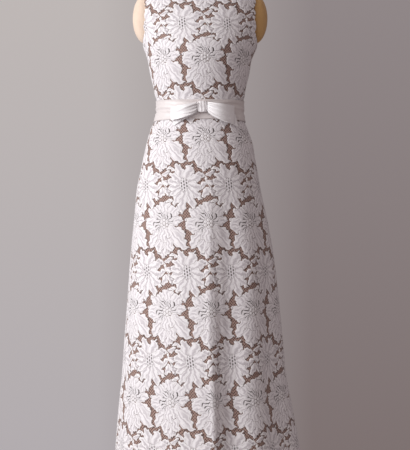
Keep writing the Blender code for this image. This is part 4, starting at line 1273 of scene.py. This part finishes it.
@dataclass
class Bodice(LacePanels):
    """The fitted sleeveless bodice with its high round neck, and edges that follow the lace in scallops."""

    armpit_z: float = 1.2374
    shoulder_tip: tuple[float, float, float] = (0.163, 0.0, 1.400)
    side_neck: tuple[float, float, float] = (0.068, 0.004, 1.452)
    side_neck_share: float = 0.42
    front_neck: tuple[float, float] = (-0.068, 1.405)
    back_neck: tuple[float, float] = (0.066, 1.448)
    pull_y: float = 0.35
    pull_z: float = 0.75
    rows: int = 172
    yoke_rows: int = 66
    half_columns: int = 104
    scallop_depth: float = 0.0082
    lay: Lay = Lay(0.014, 1.191)

    def yoke_end(self, share: np.ndarray, front: bool) -> np.ndarray:
        """The top edge at shares of the half-width: the neckline in small scallops, then the shoulder seam.

        Args:
            share: from 0 at the centre to 1 at the side.
            front: whether it is the front.

        Returns:
            Its points.
        """
        neck_y, neck_z = self.front_neck if front else self.back_neck
        side = np.array(self.side_neck)
        angle = np.clip(share / self.side_neck_share, 0, 1) * math.pi / 2
        scallop = 0.0030 * (1 - np.sqrt(np.abs(np.sin(angle * 4)))) * np.cos(angle)
        neck = np.stack([side[0] * np.sin(angle), side[1] + (neck_y - side[1]) * np.cos(angle),
                         side[2] + (neck_z - side[2]) * np.cos(angle) - scallop], axis=-1)
        along = np.clip((share - self.side_neck_share) / (1 - self.side_neck_share), 0, 1)[..., None]
        shoulder = side + (np.array(self.shoulder_tip) - side) * along
        end = np.where((share < self.side_neck_share)[..., None], neck, shoulder)
        end[..., 1] += -0.0003 if front else 0.0003
        return end

    def edge_scallop(self, heights: np.ndarray) -> np.ndarray:
        """Share of the half-width that the scalloped armhole edge is drawn in, in two sizes of wave.

        Args:
            heights: heights in metres.

        Returns:
            The share at each height.
        """
        large = 1 - np.abs(np.sin(np.pi * (heights - 1.2405) / 0.034)) ** 0.7
        small = 1 - np.abs(np.sin(np.pi * (heights - 1.2405) / 0.0113)) ** 0.6
        start = np.clip((heights - self.armpit_z) / 0.012, 0, 1)
        return start * (large * self.scallop_depth + small * 0.0024) / 0.19

    def half(self, side: int, front: bool) -> np.ndarray:
        """Points of half a bodice, from the centre to the side, with rows that go up.

        Args:
            side: 1 to the viewer's right, -1 to the left.
            front: whether it is the front.

        Returns:
            The grid of points.
        """
        table = list(zip(*BODICE_ROWS))
        heights = np.linspace(table[0][0], table[0][-1], self.rows)
        halves = smooth_curve(table[0], table[2 if side > 0 else 1], heights)
        depths = smooth_curve(table[0], table[3 if front else 4], heights)
        ends = np.minimum(smooth_curve(table[0], table[5 if front else 6], heights), 90.0)
        ends = np.where(heights <= self.armpit_z, 90.0, ends)
        shares = np.linspace(0, 1, self.half_columns)
        pulled = shares[None, :] * (1 - self.edge_scallop(heights)[:, None] * shares[None, :] ** 6)
        angle = np.radians(pulled * ends[:, None])
        sign = -1 if front else 1
        lower = np.stack([halves[:, None] * np.sin(angle), sign * depths[:, None] * np.cos(angle),
                          np.repeat(heights[:, None], self.half_columns, axis=1)], axis=2)
        end = self.yoke_end(shares, front)
        start = lower[-1]
        bend = (start + end) / 2
        bend[:, 1] = start[:, 1] + (end[:, 1] - start[:, 1]) * self.pull_y
        bend[:, 2] = start[:, 2] + (end[:, 2] - start[:, 2]) * self.pull_z
        way = np.linspace(0, 1, self.yoke_rows + 1)[1:, None, None]
        upper = (1 - way) ** 2 * start + 2 * way * (1 - way) * bend + way**2 * end
        upper[..., 0] *= 1 - (self.edge_scallop(upper[:, -1, 2]) * (1 - way[:, 0, 0]))[:, None] * shares**6
        points = np.concatenate([lower, upper])
        points[..., 0] *= side
        seam = points[:, -1, 2] <= self.armpit_z
        points[seam, -1, 1] += sign * SEAM_GAP / 2
        return points

    def grid(self, points: np.ndarray, zero: float) -> ClothGrid:
        """A panel's grid with its flat coordinates, about the heart of a bloom.

        Args:
            points: its points.
            zero: its column at the centre of the body.

        Returns:
            The panel.
        """
        flat = flat_lengths(points, zero)
        centre = int(round(zero))
        heart_up = float(np.interp(self.lay.heart_z, points[:, centre, 2], flat[:, centre, 1]))
        flat[..., 0] -= self.lay.heart_x
        flat[..., 1] -= heart_up
        return ClothGrid(points, grid_normals(points), flat)

    def build(self) -> None:
        """Builds and dresses the front and the two backs, each of lace over its lining."""
        front = np.concatenate([self.half(-1, True)[:, ::-1], self.half(1, True)[:, 1:]], axis=1)
        right = self.half(1, False)[:, ::-1]
        left = self.half(-1, False)
        right[:, -1, 0] += SEAM_GAP / 2
        left[:, 0, 0] -= SEAM_GAP / 2
        last = self.half_columns - 1
        for name, points, zero in (("bodice_front", front, last), ("bodice_back_right", right, last),
                                   ("bodice_back_left", left, 0)):
            self.add_panel(name, self.grid(points, zero), lining_step=4)

    @staticmethod
    def waist(z: float, offset: float) -> tuple[float, float, float, float]:
        """Half-widths and depths of the dress under the sash at a height, moved out by offset.

        Args:
            z: the height.
            offset: metres out.

        Returns:
            Half-widths left and right, depths front and back.
        """
        rings = [row[:5] for row in SKIRT_RINGS if row[0] > 0.94] + [row[:5] for row in BODICE_ROWS[1:3]]
        table = list(zip(*rings))
        return tuple(float(np.interp(z, table[0], column)) + offset for column in table[1:])


def hump(value: float, middle: float, half: float) -> float:
    """A smooth hump: 1 at its middle and falling away to both sides."""
    return math.exp(-(((value - middle) / half) ** 2))


def front_y(x: float, z: float, offset: float) -> float:
    """Y of the dress's front at the waist, moved out by offset.

    Args:
        x, z: the place.
        offset: metres out.

    Returns:
        Y in metres.
    """
    left, right, front, _ = Bodice.waist(z, offset)
    half = right if x > 0 else left
    return -front * math.sqrt(max(0.0, 1 - (x / half) ** 2))


@dataclass
class Sash:
    """The flat ribbon round the waist, slightly creased along its length."""

    satin: bpy.types.Material
    half_height: float = 0.0290
    clearance: float = 0.0009
    dip: float = 0.004
    columns: int = 300
    rows: int = 22

    def build(self) -> None:
        """Builds and dresses the band."""
        turns = np.linspace(-np.pi, np.pi, self.columns)
        levels = np.linspace(-1, 1, self.rows)
        points = np.zeros((self.rows, self.columns, 3))
        for row, level in enumerate(levels):
            for column, turn in enumerate(turns):
                lowered = self.dip * max(0.0, math.cos(turn)) ** 2 if level > 0 else 0.0
                z = WAIST_Z + level * self.half_height - lowered * level
                crease = 0.0009 * math.sin(level * 7.5 + 1.3 * math.sin(turn * 2 + 0.4))
                crease += 0.0007 * math.sin(level * 13 + 2.0 * math.sin(turn * 3 + 2.0))
                reach = self.clearance + RIBBON_WALL + 0.0006 + crease * (1 - level**4)
                left, right, front, back = Bodice.waist(z, reach)
                x = (right if turn > 0 else left) * math.sin(turn)
                y = -(front if abs(turn) < math.pi / 2 else back) * math.cos(turn)
                points[row, column] = (x, y, z)
        points[:, 0, 0] -= SEAM_GAP
        points[:, -1, 0] += SEAM_GAP
        flat = flat_lengths(points, (self.columns - 1) / 2)
        flat[..., 1] -= WAIST_Z
        grid = ClothGrid(points, grid_normals(points), flat)
        band = cloth_piece("sash_ribbon", grid, RIBBON_WALL, self.satin)
        dress_piece(band, ["sash_band"])
        grid.flat_size
        grid.area


@dataclass(frozen=True)
class BowLoop:
    """One loop of the bow."""

    side: int
    length: float
    outer_top: float  # heights of its outer fold from the knot's middle
    outer_bottom: float
    depth: float
    sag: float  # how far its lower edge sags


@dataclass(frozen=True)
class BowTail:
    """One end of the ribbon, from the knot to its slanting cut."""

    side: int
    tip_x: float
    tip_top: float
    tip_bottom: float
    slant: float


@dataclass
class Bow:
    """The flat bow at the front of the waist: knot, two loops and two short tails."""

    satin: bpy.types.Material
    x: float = 0.0065
    z: float = 1.0585
    knot_half: tuple[float, float, float] = (0.0140, 0.0085, 0.0155)
    knot_clear: float = 0.0005
    gap: float = 0.0004
    stand_off: float = 0.0064
    outer_stand_off: float = 0.0096
    loop_half_height: float = 0.0130
    tail_half_height: float = 0.008
    tail_drop: float = 0.009
    tail_clear: float = 0.0032
    loops: tuple[BowLoop, ...] = (BowLoop(-1, 0.0865, 0.0000, -0.0370, 0.019, 0.003),
                                  BowLoop(1, 0.0880, 0.0045, -0.0480, 0.021, 0.002))
    tails: tuple[BowTail, ...] = (BowTail(-1, -0.081, -0.012, -0.0530, -0.009),
                                  BowTail(1, 0.0985, -0.0175, -0.0520, 0.008))

    def strip(self, name: str, points: np.ndarray, node: str) -> None:
        """A ribbon wall on a grid of its middle points.

        Args:
            name: the piece's name.
            points: the grid.
            node: the solid that it stands for.
        """
        flat = flat_lengths(points, 0)
        flat[..., 1] -= flat[..., 1].mean()
        grid = ClothGrid(points, grid_normals(points), flat)
        rows, columns = points.shape[:2]
        quads = grid_quads(rows, columns)
        piece = mesh_piece(name, points.reshape(-1, 3), quads, flat.reshape(-1, 2), self.satin)
        wall = piece.modifiers.new("wall", "SOLIDIFY")
        wall.thickness = RIBBON_WALL * 0.8
        wall.offset = 0.0
        apply_modifiers(piece)
        dress_piece(piece, [node])
        grid.flat_size
        grid.area

    def add_loop(self, loop: BowLoop) -> None:
        """A loop: out along the sash, round its end and back to the knot in front, creased at the knot.

        Args:
            loop: its sizes.
        """
        side = "left" if loop.side < 0 else "right"
        knot_x = self.x + loop.side * (self.knot_half[0] + self.knot_clear)
        steps, across = 110, 30
        points = np.zeros((across, steps, 3))
        for column in range(steps):
            turn = math.pi * column / (steps - 1)
            out = math.sin(turn) ** 0.85
            x = knot_x + loop.side * (loop.length - self.knot_half[0]) * out
            spread = out**0.7
            top = self.z + self.loop_half_height + (loop.outer_top - self.loop_half_height) * spread
            low = self.z - self.loop_half_height + (loop.outer_bottom + self.loop_half_height) * spread
            low -= loop.sag * math.sin(math.pi * out)
            stand_off = self.stand_off + (self.outer_stand_off - self.stand_off) * out
            back = min(front_y(x, max(z, 0.99), 0.0021) for z in (top, self.z, low)) - stand_off
            swell = 0.5 + 0.5 * math.sin(math.pi * out)
            y = back - loop.depth * swell * (1 - math.cos(turn)) / 2
            facing = max(0.0, -math.cos(turn)) ** 0.5
            for row in range(across):
                level = row / (across - 1)
                gather = math.exp(-out / 0.28) * 0.0020 * math.cos(level * 19 + loop.side)
                ridge = 0.0034 * hump(level, 0.86 - 0.30 * out, 0.085) * (1.0 - 0.7 * out)
                crease = 0.0036 * hump(level, 0.10 + 0.24 * out, 0.07) * math.sin(math.pi * out)
                hollow = 0.0046 * hump(level, 0.50, 0.26) * out * (1.2 - out) * 1.6
                shift = facing * (gather - ridge + crease + hollow)
                points[row, column] = (x, y + shift, low + (top - low) * level)
        if loop.side < 0:
            points = points[::-1]
        self.strip(f"bow_{side}_loop", points, f"bow_loop_{side}")

    def add_tail(self, tail: BowTail) -> None:
        """A tail that comes out under its loop and is cut on a slant.

        Args:
            tail: its sizes.
        """
        side = "left" if tail.side < 0 else "right"
        start_x = self.x + tail.side * (self.knot_half[0] + self.knot_clear)
        steps, across = 48, 18
        points = np.zeros((across, steps, 3))
        for column in range(steps):
            share = column / (steps - 1)
            x = start_x + (tail.tip_x - start_x) * share
            top_start = self.tail_half_height - self.tail_drop
            low_start = -self.tail_half_height - self.tail_drop
            top = self.z + top_start + (tail.tip_top - top_start) * share
            low = self.z + low_start + (tail.tip_bottom - low_start) * share
            y = min(front_y(x, max(low, 0.99), 0.0021), front_y(x, self.z, 0.0021)) - self.tail_clear
            for row in range(across):
                level = row / (across - 1)
                shift = tail.side * tail.slant * (1 - level) * share**4
                curl = -0.0012 * math.sin(math.pi * share) * math.cos(level * 6.0)
                points[row, column] = (x + shift, y + curl * 0.5, low + (top - low) * level)
        if tail.side < 0:
            points = points[::-1]
        self.strip(f"bow_{side}_tail", points, f"bow_tail_{side}")

    def add_knot(self) -> None:
        """The knot: a soft pillow of ribbon with upright gathers, its back on the sash."""
        deselect()
        bpy.ops.mesh.primitive_cube_add(size=2.0, location=(0, 0, 0))
        knot = bpy.context.active_object
        bpy.ops.object.mode_set(mode="EDIT")
        bpy.ops.mesh.select_all(action="SELECT")
        bpy.ops.mesh.subdivide(number_cuts=15)
        bpy.ops.object.mode_set(mode="OBJECT")
        half_x, half_y, half_z = self.knot_half
        for vertex in knot.data.vertices:
            side = vertex.co.copy()
            bulge = 1 - 0.22 * (side.x**4 + side.z**4) / 2
            x = self.x + side.x * half_x * (1 - 0.12 * side.z**2) * (1 - 0.07 * abs(side.y) ** 4)
            z = self.z + side.z * half_z * (1 - 0.12 * side.x**2) * (1 - 0.06 * abs(side.y) ** 4)
            gather = 0.0007 * math.cos(side.x * 9 + 0.8 * side.z) * max(0.0, -side.y)
            y = front_y(x, z, 0.0021) - self.gap - 0.0006 - (1 - side.y) * half_y * bulge * 0.97 + gather
            vertex.co = Vector((x, y, z))
        knot.name = knot.data.name = "bow_centre_knot"
        smooth = knot.modifiers.new("soft", "SMOOTH")
        smooth.factor, smooth.iterations = 0.5, 3
        apply_modifiers(knot)
        bpy.ops.object.shade_smooth()
        knot.data.materials.append(self.satin)
        dress_piece(knot, ["bow_knot"])

    def build(self) -> None:
        """Builds and dresses the whole bow."""
        for loop in self.loops:
            self.add_loop(loop)
        for tail in self.tails:
            self.add_tail(tail)
        self.add_knot()


FORM_RINGS = (  # height, half-width, depth front and back
    (0.800, 0.1540, 0.0960, 0.1080), (0.806, 0.1600, 0.1020, 0.1150), (0.850, 0.1570, 0.1050, 0.1190),
    (0.900, 0.1495, 0.1015, 0.1140), (0.950, 0.1405, 0.0960, 0.1060), (1.004, 0.1260, 0.0905, 0.0940),
    (1.032, 0.1170, 0.0865, 0.0850), (1.055, 0.1150, 0.0845, 0.0795), (1.0835, 0.1160, 0.0885, 0.0820),
    (1.120, 0.1210, 0.0975, 0.0870), (1.165, 0.1310, 0.1125, 0.0920), (1.205, 0.1395, 0.1235, 0.0965),
    (1.2374, 0.1510, 0.1225, 0.0995), (1.290, 0.1620, 0.1075, 0.1035), (1.350, 0.1640, 0.0850, 0.0970),
    (1.3743, 0.1560, 0.0670, 0.0810), (1.3899, 0.1460, 0.0540, 0.0660), (1.4099, 0.1130, 0.0460, 0.0560),
    (1.4239, 0.0800, 0.0420, 0.0520), (1.4399, 0.0580, 0.0440, 0.0510), (1.500, 0.0530, 0.0470, 0.0500),
)


@dataclass
class DressForm:
    """The limbless form: linen torso, two arm caps and a neck cap with piped seams, and its stand."""

    linen: bpy.types.Material
    paint: bpy.types.Material
    side_x: float = 0.1520
    inset: float = 0.0010  # how far the cloth cover lies inside the solid's rings
    columns: int = 112
    rows: int = 150
    cap_x: float = 0.1525
    cap_z: float = 1.320
    cap_bulge: float = 0.0395
    cap_half_depth: float = 0.0380
    cap_half_height: float = 0.0715
    piping: float = 0.0016

    def add_torso(self) -> None:
        """The torso as one closed skin, flat at each side where the arms would be."""
        table = list(zip(*FORM_RINGS))
        heights = np.linspace(table[0][0], table[0][-1], self.rows)
        half, front, back = (smooth_curve(table[0], column, heights)[:, None] - self.inset
                             for column in table[1:])
        angle = 2 * np.pi * (np.arange(self.columns) + 0.5)[None, :] / self.columns
        x = np.clip(half * np.sin(angle), -self.side_x, self.side_x)
        y = -np.where(np.cos(angle) > 0, front, back) * np.cos(angle)
        z = np.repeat(heights[:, None], self.columns, axis=1)
        points = np.stack([x, y, z], axis=2).reshape(-1, 3)
        bottom = np.arange(self.columns)[::-1]
        top = np.arange(self.columns) + (self.rows - 1) * self.columns
        torso = mesh_piece("form_body", points, grid_quads(self.rows, self.columns, closed=True), None,
                           self.linen, caps=(bottom, top))
        torso.data.set_sharp_from_angle(angle=math.radians(50))
        dress_piece(torso, ["form_torso"])

    def add_dome(self, name: str, node: str, place: Vector, radii: Vector, out: Vector) -> None:
        """A padded half dome with a piped seam round its foot.

        Args:
            name: the piece's name.
            node: the solid that it stands for.
            place: the middle of its foot.
            radii: half-sizes along X, Y and Z.
            out: the way it bulges.
        """
        deselect()
        bpy.ops.mesh.primitive_uv_sphere_add(segments=64, ring_count=32, radius=1.0, location=(0, 0, 0))
        dome = bpy.context.active_object
        bpy.ops.object.mode_set(mode="EDIT")
        bpy.ops.mesh.select_all(action="SELECT")
        bpy.ops.mesh.bisect(plane_co=(0, 0, 0), plane_no=tuple(out), clear_inner=True, use_fill=True)
        bpy.ops.object.mode_set(mode="OBJECT")
        dome.scale = radii
        dome.location = place
        dome.name = dome.data.name = name
        place_in_mesh(dome)
        bpy.ops.object.shade_smooth_by_angle(angle=math.radians(50))
        dome.data.materials.append(self.linen)
        deselect()
        bpy.ops.mesh.primitive_torus_add(major_segments=96, minor_segments=10, major_radius=1.0,
                                         minor_radius=0.02, location=(0, 0, 0))
        cord = bpy.context.active_object
        turn = Vector((0, 0, 1)).rotation_difference(out).to_matrix()
        flat = [radii[axis] for axis in range(3) if abs(out[axis]) < 0.5]
        for vertex in cord.data.vertices:
            ring = Vector((vertex.co.x, vertex.co.y, 0)).normalized()
            reach = (Vector((vertex.co.x, vertex.co.y, 0)).length - 1) / 0.02
            spot = turn @ ring
            local = Vector([spot[axis] * radii[axis] if abs(out[axis]) < 0.5 else 0.0 for axis in range(3)])
            outward = local.normalized() * reach + out * (vertex.co.z / 0.02)
            vertex.co = place + local + outward * self.piping + out * (self.piping * 0.5)
        cord.name = cord.data.name = f"{name}_piping"
        bpy.ops.object.shade_smooth()
        cord.data.materials.append(self.linen)
        LOG.info("%s: dome of %.3f x %.3f m", name, *flat)
        dress_piece(dome, [node])
        dress_piece(cord)

    def add_stand(self) -> None:
        """The turned stand keeps its solids, with a worn cream paint."""
        for name in ("stand_base", "stand_pole", "stand_collar"):
            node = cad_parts[name]
            node.data.materials.clear()
            node.data.materials.append(self.paint)

    def build(self) -> None:
        """Builds and dresses the form and its stand."""
        self.add_torso()
        radii = Vector((self.cap_bulge, self.cap_half_depth, self.cap_half_height))
        for side, word in ((-1, "left"), (1, "right")):
            place = Vector((side * self.cap_x, 0.0, self.cap_z))
            self.add_dome(f"arm_cap_{word}", f"form_arm_cap_{word}", place, radii, Vector((side, 0, 0)))
        top = FORM_RINGS[-1]
        place = Vector((0.0, (top[3] - top[2]) / 2, top[0] + 0.0003))
        radii = Vector((top[1], (top[2] + top[3]) / 2, 0.022))
        self.add_dome("neck_cap", "form_neck_cap", place, radii, Vector((0, 0, 1)))
        self.add_stand()


@dataclass
class Zip:
    """The centre-back zip: two tapes inside the lining, metal teeth, the slider and its pull tab."""

    tape: bpy.types.Material
    metal: bpy.types.Material
    top_z: float = 1.438
    bottom_z: float = 0.880
    width: float = 0.012
    pitch: float = 0.0020

    def line(self) -> np.ndarray:
        """Points down the centre back, inside the lining, from bottom to top.

        Returns:
            The points.
        """
        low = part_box("zip_tape_left")
        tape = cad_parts["zip_tape_left"].data.vertices
        spots = np.array([tuple(vertex.co) for vertex in tape])
        edge = spots[spots[:, 0] > low[1][0] - 0.0004]
        order = np.argsort(edge[:, 2])
        edge = edge[order]
        heights = np.linspace(max(self.bottom_z, low[0][2]), min(self.top_z, low[1][2]), 120)
        depth = np.interp(heights, edge[:, 2], edge[:, 1])
        return np.stack([np.zeros_like(heights), depth, heights], axis=1)

    def add_tape(self, side: int, line: np.ndarray) -> None:
        """One tape, a flat strip beside the teeth.

        Args:
            side: 1 for the right tape, -1 for the left.
            line: points down the centre back.
        """
        word = "left" if side < 0 else "right"
        shares = np.linspace(0.0, 1.0, 7)
        starts = side * (0.0005 + shares * self.width)
        if side > 0:
            starts = starts[::-1]
        points = line[:, None, :] + np.stack([starts, np.zeros(7), np.zeros(7)], axis=1)[None, :, :]
        points = points[:, ::-1]
        flat = flat_lengths(points, 0)
        normals = np.tile(np.array([0.0, 1.0, 0.0]), points.shape[:2] + (1,))
        grid = ClothGrid(points, normals, flat)
        piece = cloth_piece(f"zip_{word}_tape", grid, 0.0008, self.tape)
        dress_piece(piece, [f"zip_tape_{word}"])
        grid.flat_size
        grid.area

    def add_teeth(self, line: np.ndarray) -> None:
        """Metal teeth along both tapes, one small block copied and joined.

        Args:
            line: points down the centre back.
        """
        heights = np.arange(line[0, 2] + 0.002, 1.418, self.pitch)
        depth = np.interp(heights, line[:, 2], line[:, 1])
        deselect()
        bpy.ops.mesh.primitive_cube_add(size=1.0, location=(0, 0, 0))
        tooth = bpy.context.active_object
        tooth.scale = (0.0018, 0.0010, 0.0008)
        place_in_mesh(tooth)
        bpy.ops.object.mode_set(mode="EDIT")
        bpy.ops.mesh.select_all(action="SELECT")
        bpy.ops.mesh.bevel(offset=0.0002, segments=1)
        bpy.ops.object.mode_set(mode="OBJECT")
        block = np.array([tuple(vertex.co) for vertex in tooth.data.vertices])
        faces = [tuple(face.vertices) for face in tooth.data.polygons]
        bpy.data.objects.remove(tooth, do_unlink=True)
        points, polygons = [], []
        for index, (z, y) in enumerate(zip(heights, depth)):
            spot = np.array([0.0006 if index % 2 else -0.0006, y - 0.0014, z])
            first = len(points) * len(block)
            points.append(block + spot)
            polygons += [tuple(first + corner for corner in face) for face in faces]
        mesh = bpy.data.meshes.new("zip_teeth")
        mesh.from_pydata(np.concatenate(points).tolist(), [], polygons)
        teeth = bpy.data.objects.new("zip_teeth", mesh)
        bpy.context.scene.collection.objects.link(teeth)
        mesh.materials.append(self.metal)
        dress_piece(teeth)

    def build(self) -> None:
        """Builds the tapes and teeth and finishes the slider and the pull tab."""
        line = self.line()
        for side in (-1, 1):
            self.add_tape(side, line)
        self.add_teeth(line)
        for name in ("zip_slider", "zip_pull"):
            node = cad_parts[name]
            node.data.materials.clear()
            node.data.materials.append(self.metal)


@dataclass
class Studio:
    """A small pale floor, a grey-beige surround with painted light, lighter to the left and darker to the
    right and low down, soft lights and the camera.
    """

    distance: float = 3.0
    eye_z: float = 0.733
    view_height: float = 1.2825
    sensor: float = 36.0
    floor_radius: float = 0.42
    aim: Vector = field(default_factory=lambda: Vector((0.0, 0.0, 0.80)))
    # tones of painted light: lit at the upper left, in shade to the right and low down
    left_top: Colour = srgb(191, 184, 182)
    left_low: Colour = srgb(178, 172, 175)
    right_top: Colour = srgb(145, 136, 137)
    right_low: Colour = srgb(125, 113, 112)

    def add_floor(self) -> None:
        """A round pale floor with a soft bevelled edge, which stays below the camera's view."""
        deselect()
        bpy.ops.mesh.primitive_cylinder_add(vertices=128, radius=self.floor_radius, depth=0.02,
                                            location=(0, 0, -0.0101))
        floor = bpy.context.active_object
        place_in_mesh(floor)
        floor.name = floor.data.name = "studio_floor"
        bevel = floor.modifiers.new("edge", "BEVEL")
        bevel.width, bevel.segments = 0.006, 4
        bevel.limit_method = "ANGLE"
        apply_modifiers(floor)
        bpy.ops.object.shade_smooth_by_angle(angle=math.radians(40))
        material = bpy.data.materials.new("floor_plaster")
        graph = Graph(material)
        speck = graph.noise(graph.place(), 60.0, 4.0)
        shader = graph.node("ShaderNodeBsdfPrincipled", {}, {
            "Base Color": graph.mix(speck, srgb(204, 198, 194), srgb(192, 185, 181)), "Roughness": 0.85})
        finish_graph(graph, shader)
        floor.data.materials.append(material)

    def add_surround(self) -> None:
        """The grey-beige surround, from its lit left tone to its shaded right tone and a little darker low
        down, as painted light falling from the upper left.
        """
        world = bpy.data.worlds.new("surround")
        bpy.context.scene.world = world
        graph = Graph(world)
        maths = ShaderMaths(graph)
        x, _, z = graph.parts(graph.place("Generated"))
        # painted light: the surround darkens to the right and low down, as if lit from the upper left
        side = maths.held(x * 5.0 + 0.5)
        rise = maths.held(z * 2.2 + 0.5)
        top = graph.mix(side, self.left_top, self.right_top)
        low = graph.mix(side, self.left_low, self.right_low)
        colour = graph.mix(rise, low, top)
        background = graph.node("ShaderNodeBackground", {}, {"Color": colour, "Strength": 1.0})
        graph.node("ShaderNodeOutputWorld", {}, {"Surface": Socket(graph, background.outputs[0])})

    def add_light(self, name: str, place: Vector, size: float, energy: float, colour: Colour) -> None:
        """A soft square light that looks at the middle of the dress.

        Args:
            name: its name.
            place: where it stands.
            size: its width in metres.
            energy: its power in watts.
            colour: its colour.
        """
        lamp = bpy.data.lights.new(name, "AREA")
        lamp.shape, lamp.size, lamp.energy, lamp.color = "SQUARE", size, energy, colour
        thing = bpy.data.objects.new(name, lamp)
        thing.location = place
        thing.rotation_euler = (self.aim - place).to_track_quat("-Z", "Y").to_euler()
        bpy.context.scene.collection.objects.link(thing)

    def add_camera(self) -> None:
        """The camera straight in front, at the middle of the picture's height."""
        camera = bpy.data.cameras.new("camera")
        camera.sensor_width = self.sensor
        camera.lens = self.sensor * self.distance / self.view_height
        thing = bpy.data.objects.new("camera", camera)
        thing.location = (FACE_X, -self.distance, self.eye_z)
        thing.rotation_euler = (math.pi / 2, 0.0, 0.0)
        bpy.context.scene.collection.objects.link(thing)
        bpy.context.scene.camera = thing

    def build(self) -> None:
        """Sets up the floor, the surround, the lights and the camera."""
        bpy.context.scene.view_settings.view_transform = "Standard"
        self.add_floor()
        self.add_surround()
        cool, warm = (0.975, 0.985, 1.0), (1.0, 0.96, 0.92)
        self.add_light("window_left", Vector((-2.3, -1.5, 1.5)), 1.5, 66.0, cool)
        self.add_light("front_fill", Vector((-0.3, -3.2, 1.6)), 2.2, 8.0, warm)
        self.add_camera()


def main() -> None:
    """Builds the dress, its form and the studio in order."""
    logging.basicConfig(level=logging.INFO, format="%(message)s")
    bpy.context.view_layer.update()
    lace, lining = LaceFinish().build(), LINING.build()
    satin, band = SatinFinish().build(), SHADED_BAND.build()
    linen, paint, metal, tape = (finish.build() for finish in (LINEN, PAINT, METAL, TAPE))
    Studio().build()
    DressForm(linen, paint).build()
    Skirt(lace, lining).build()
    Bodice(lace, lining).build()
    Sash(band).build()
    Bow(satin).build()
    Zip(tape, metal).build()


if __name__ == "__main__":
    main()
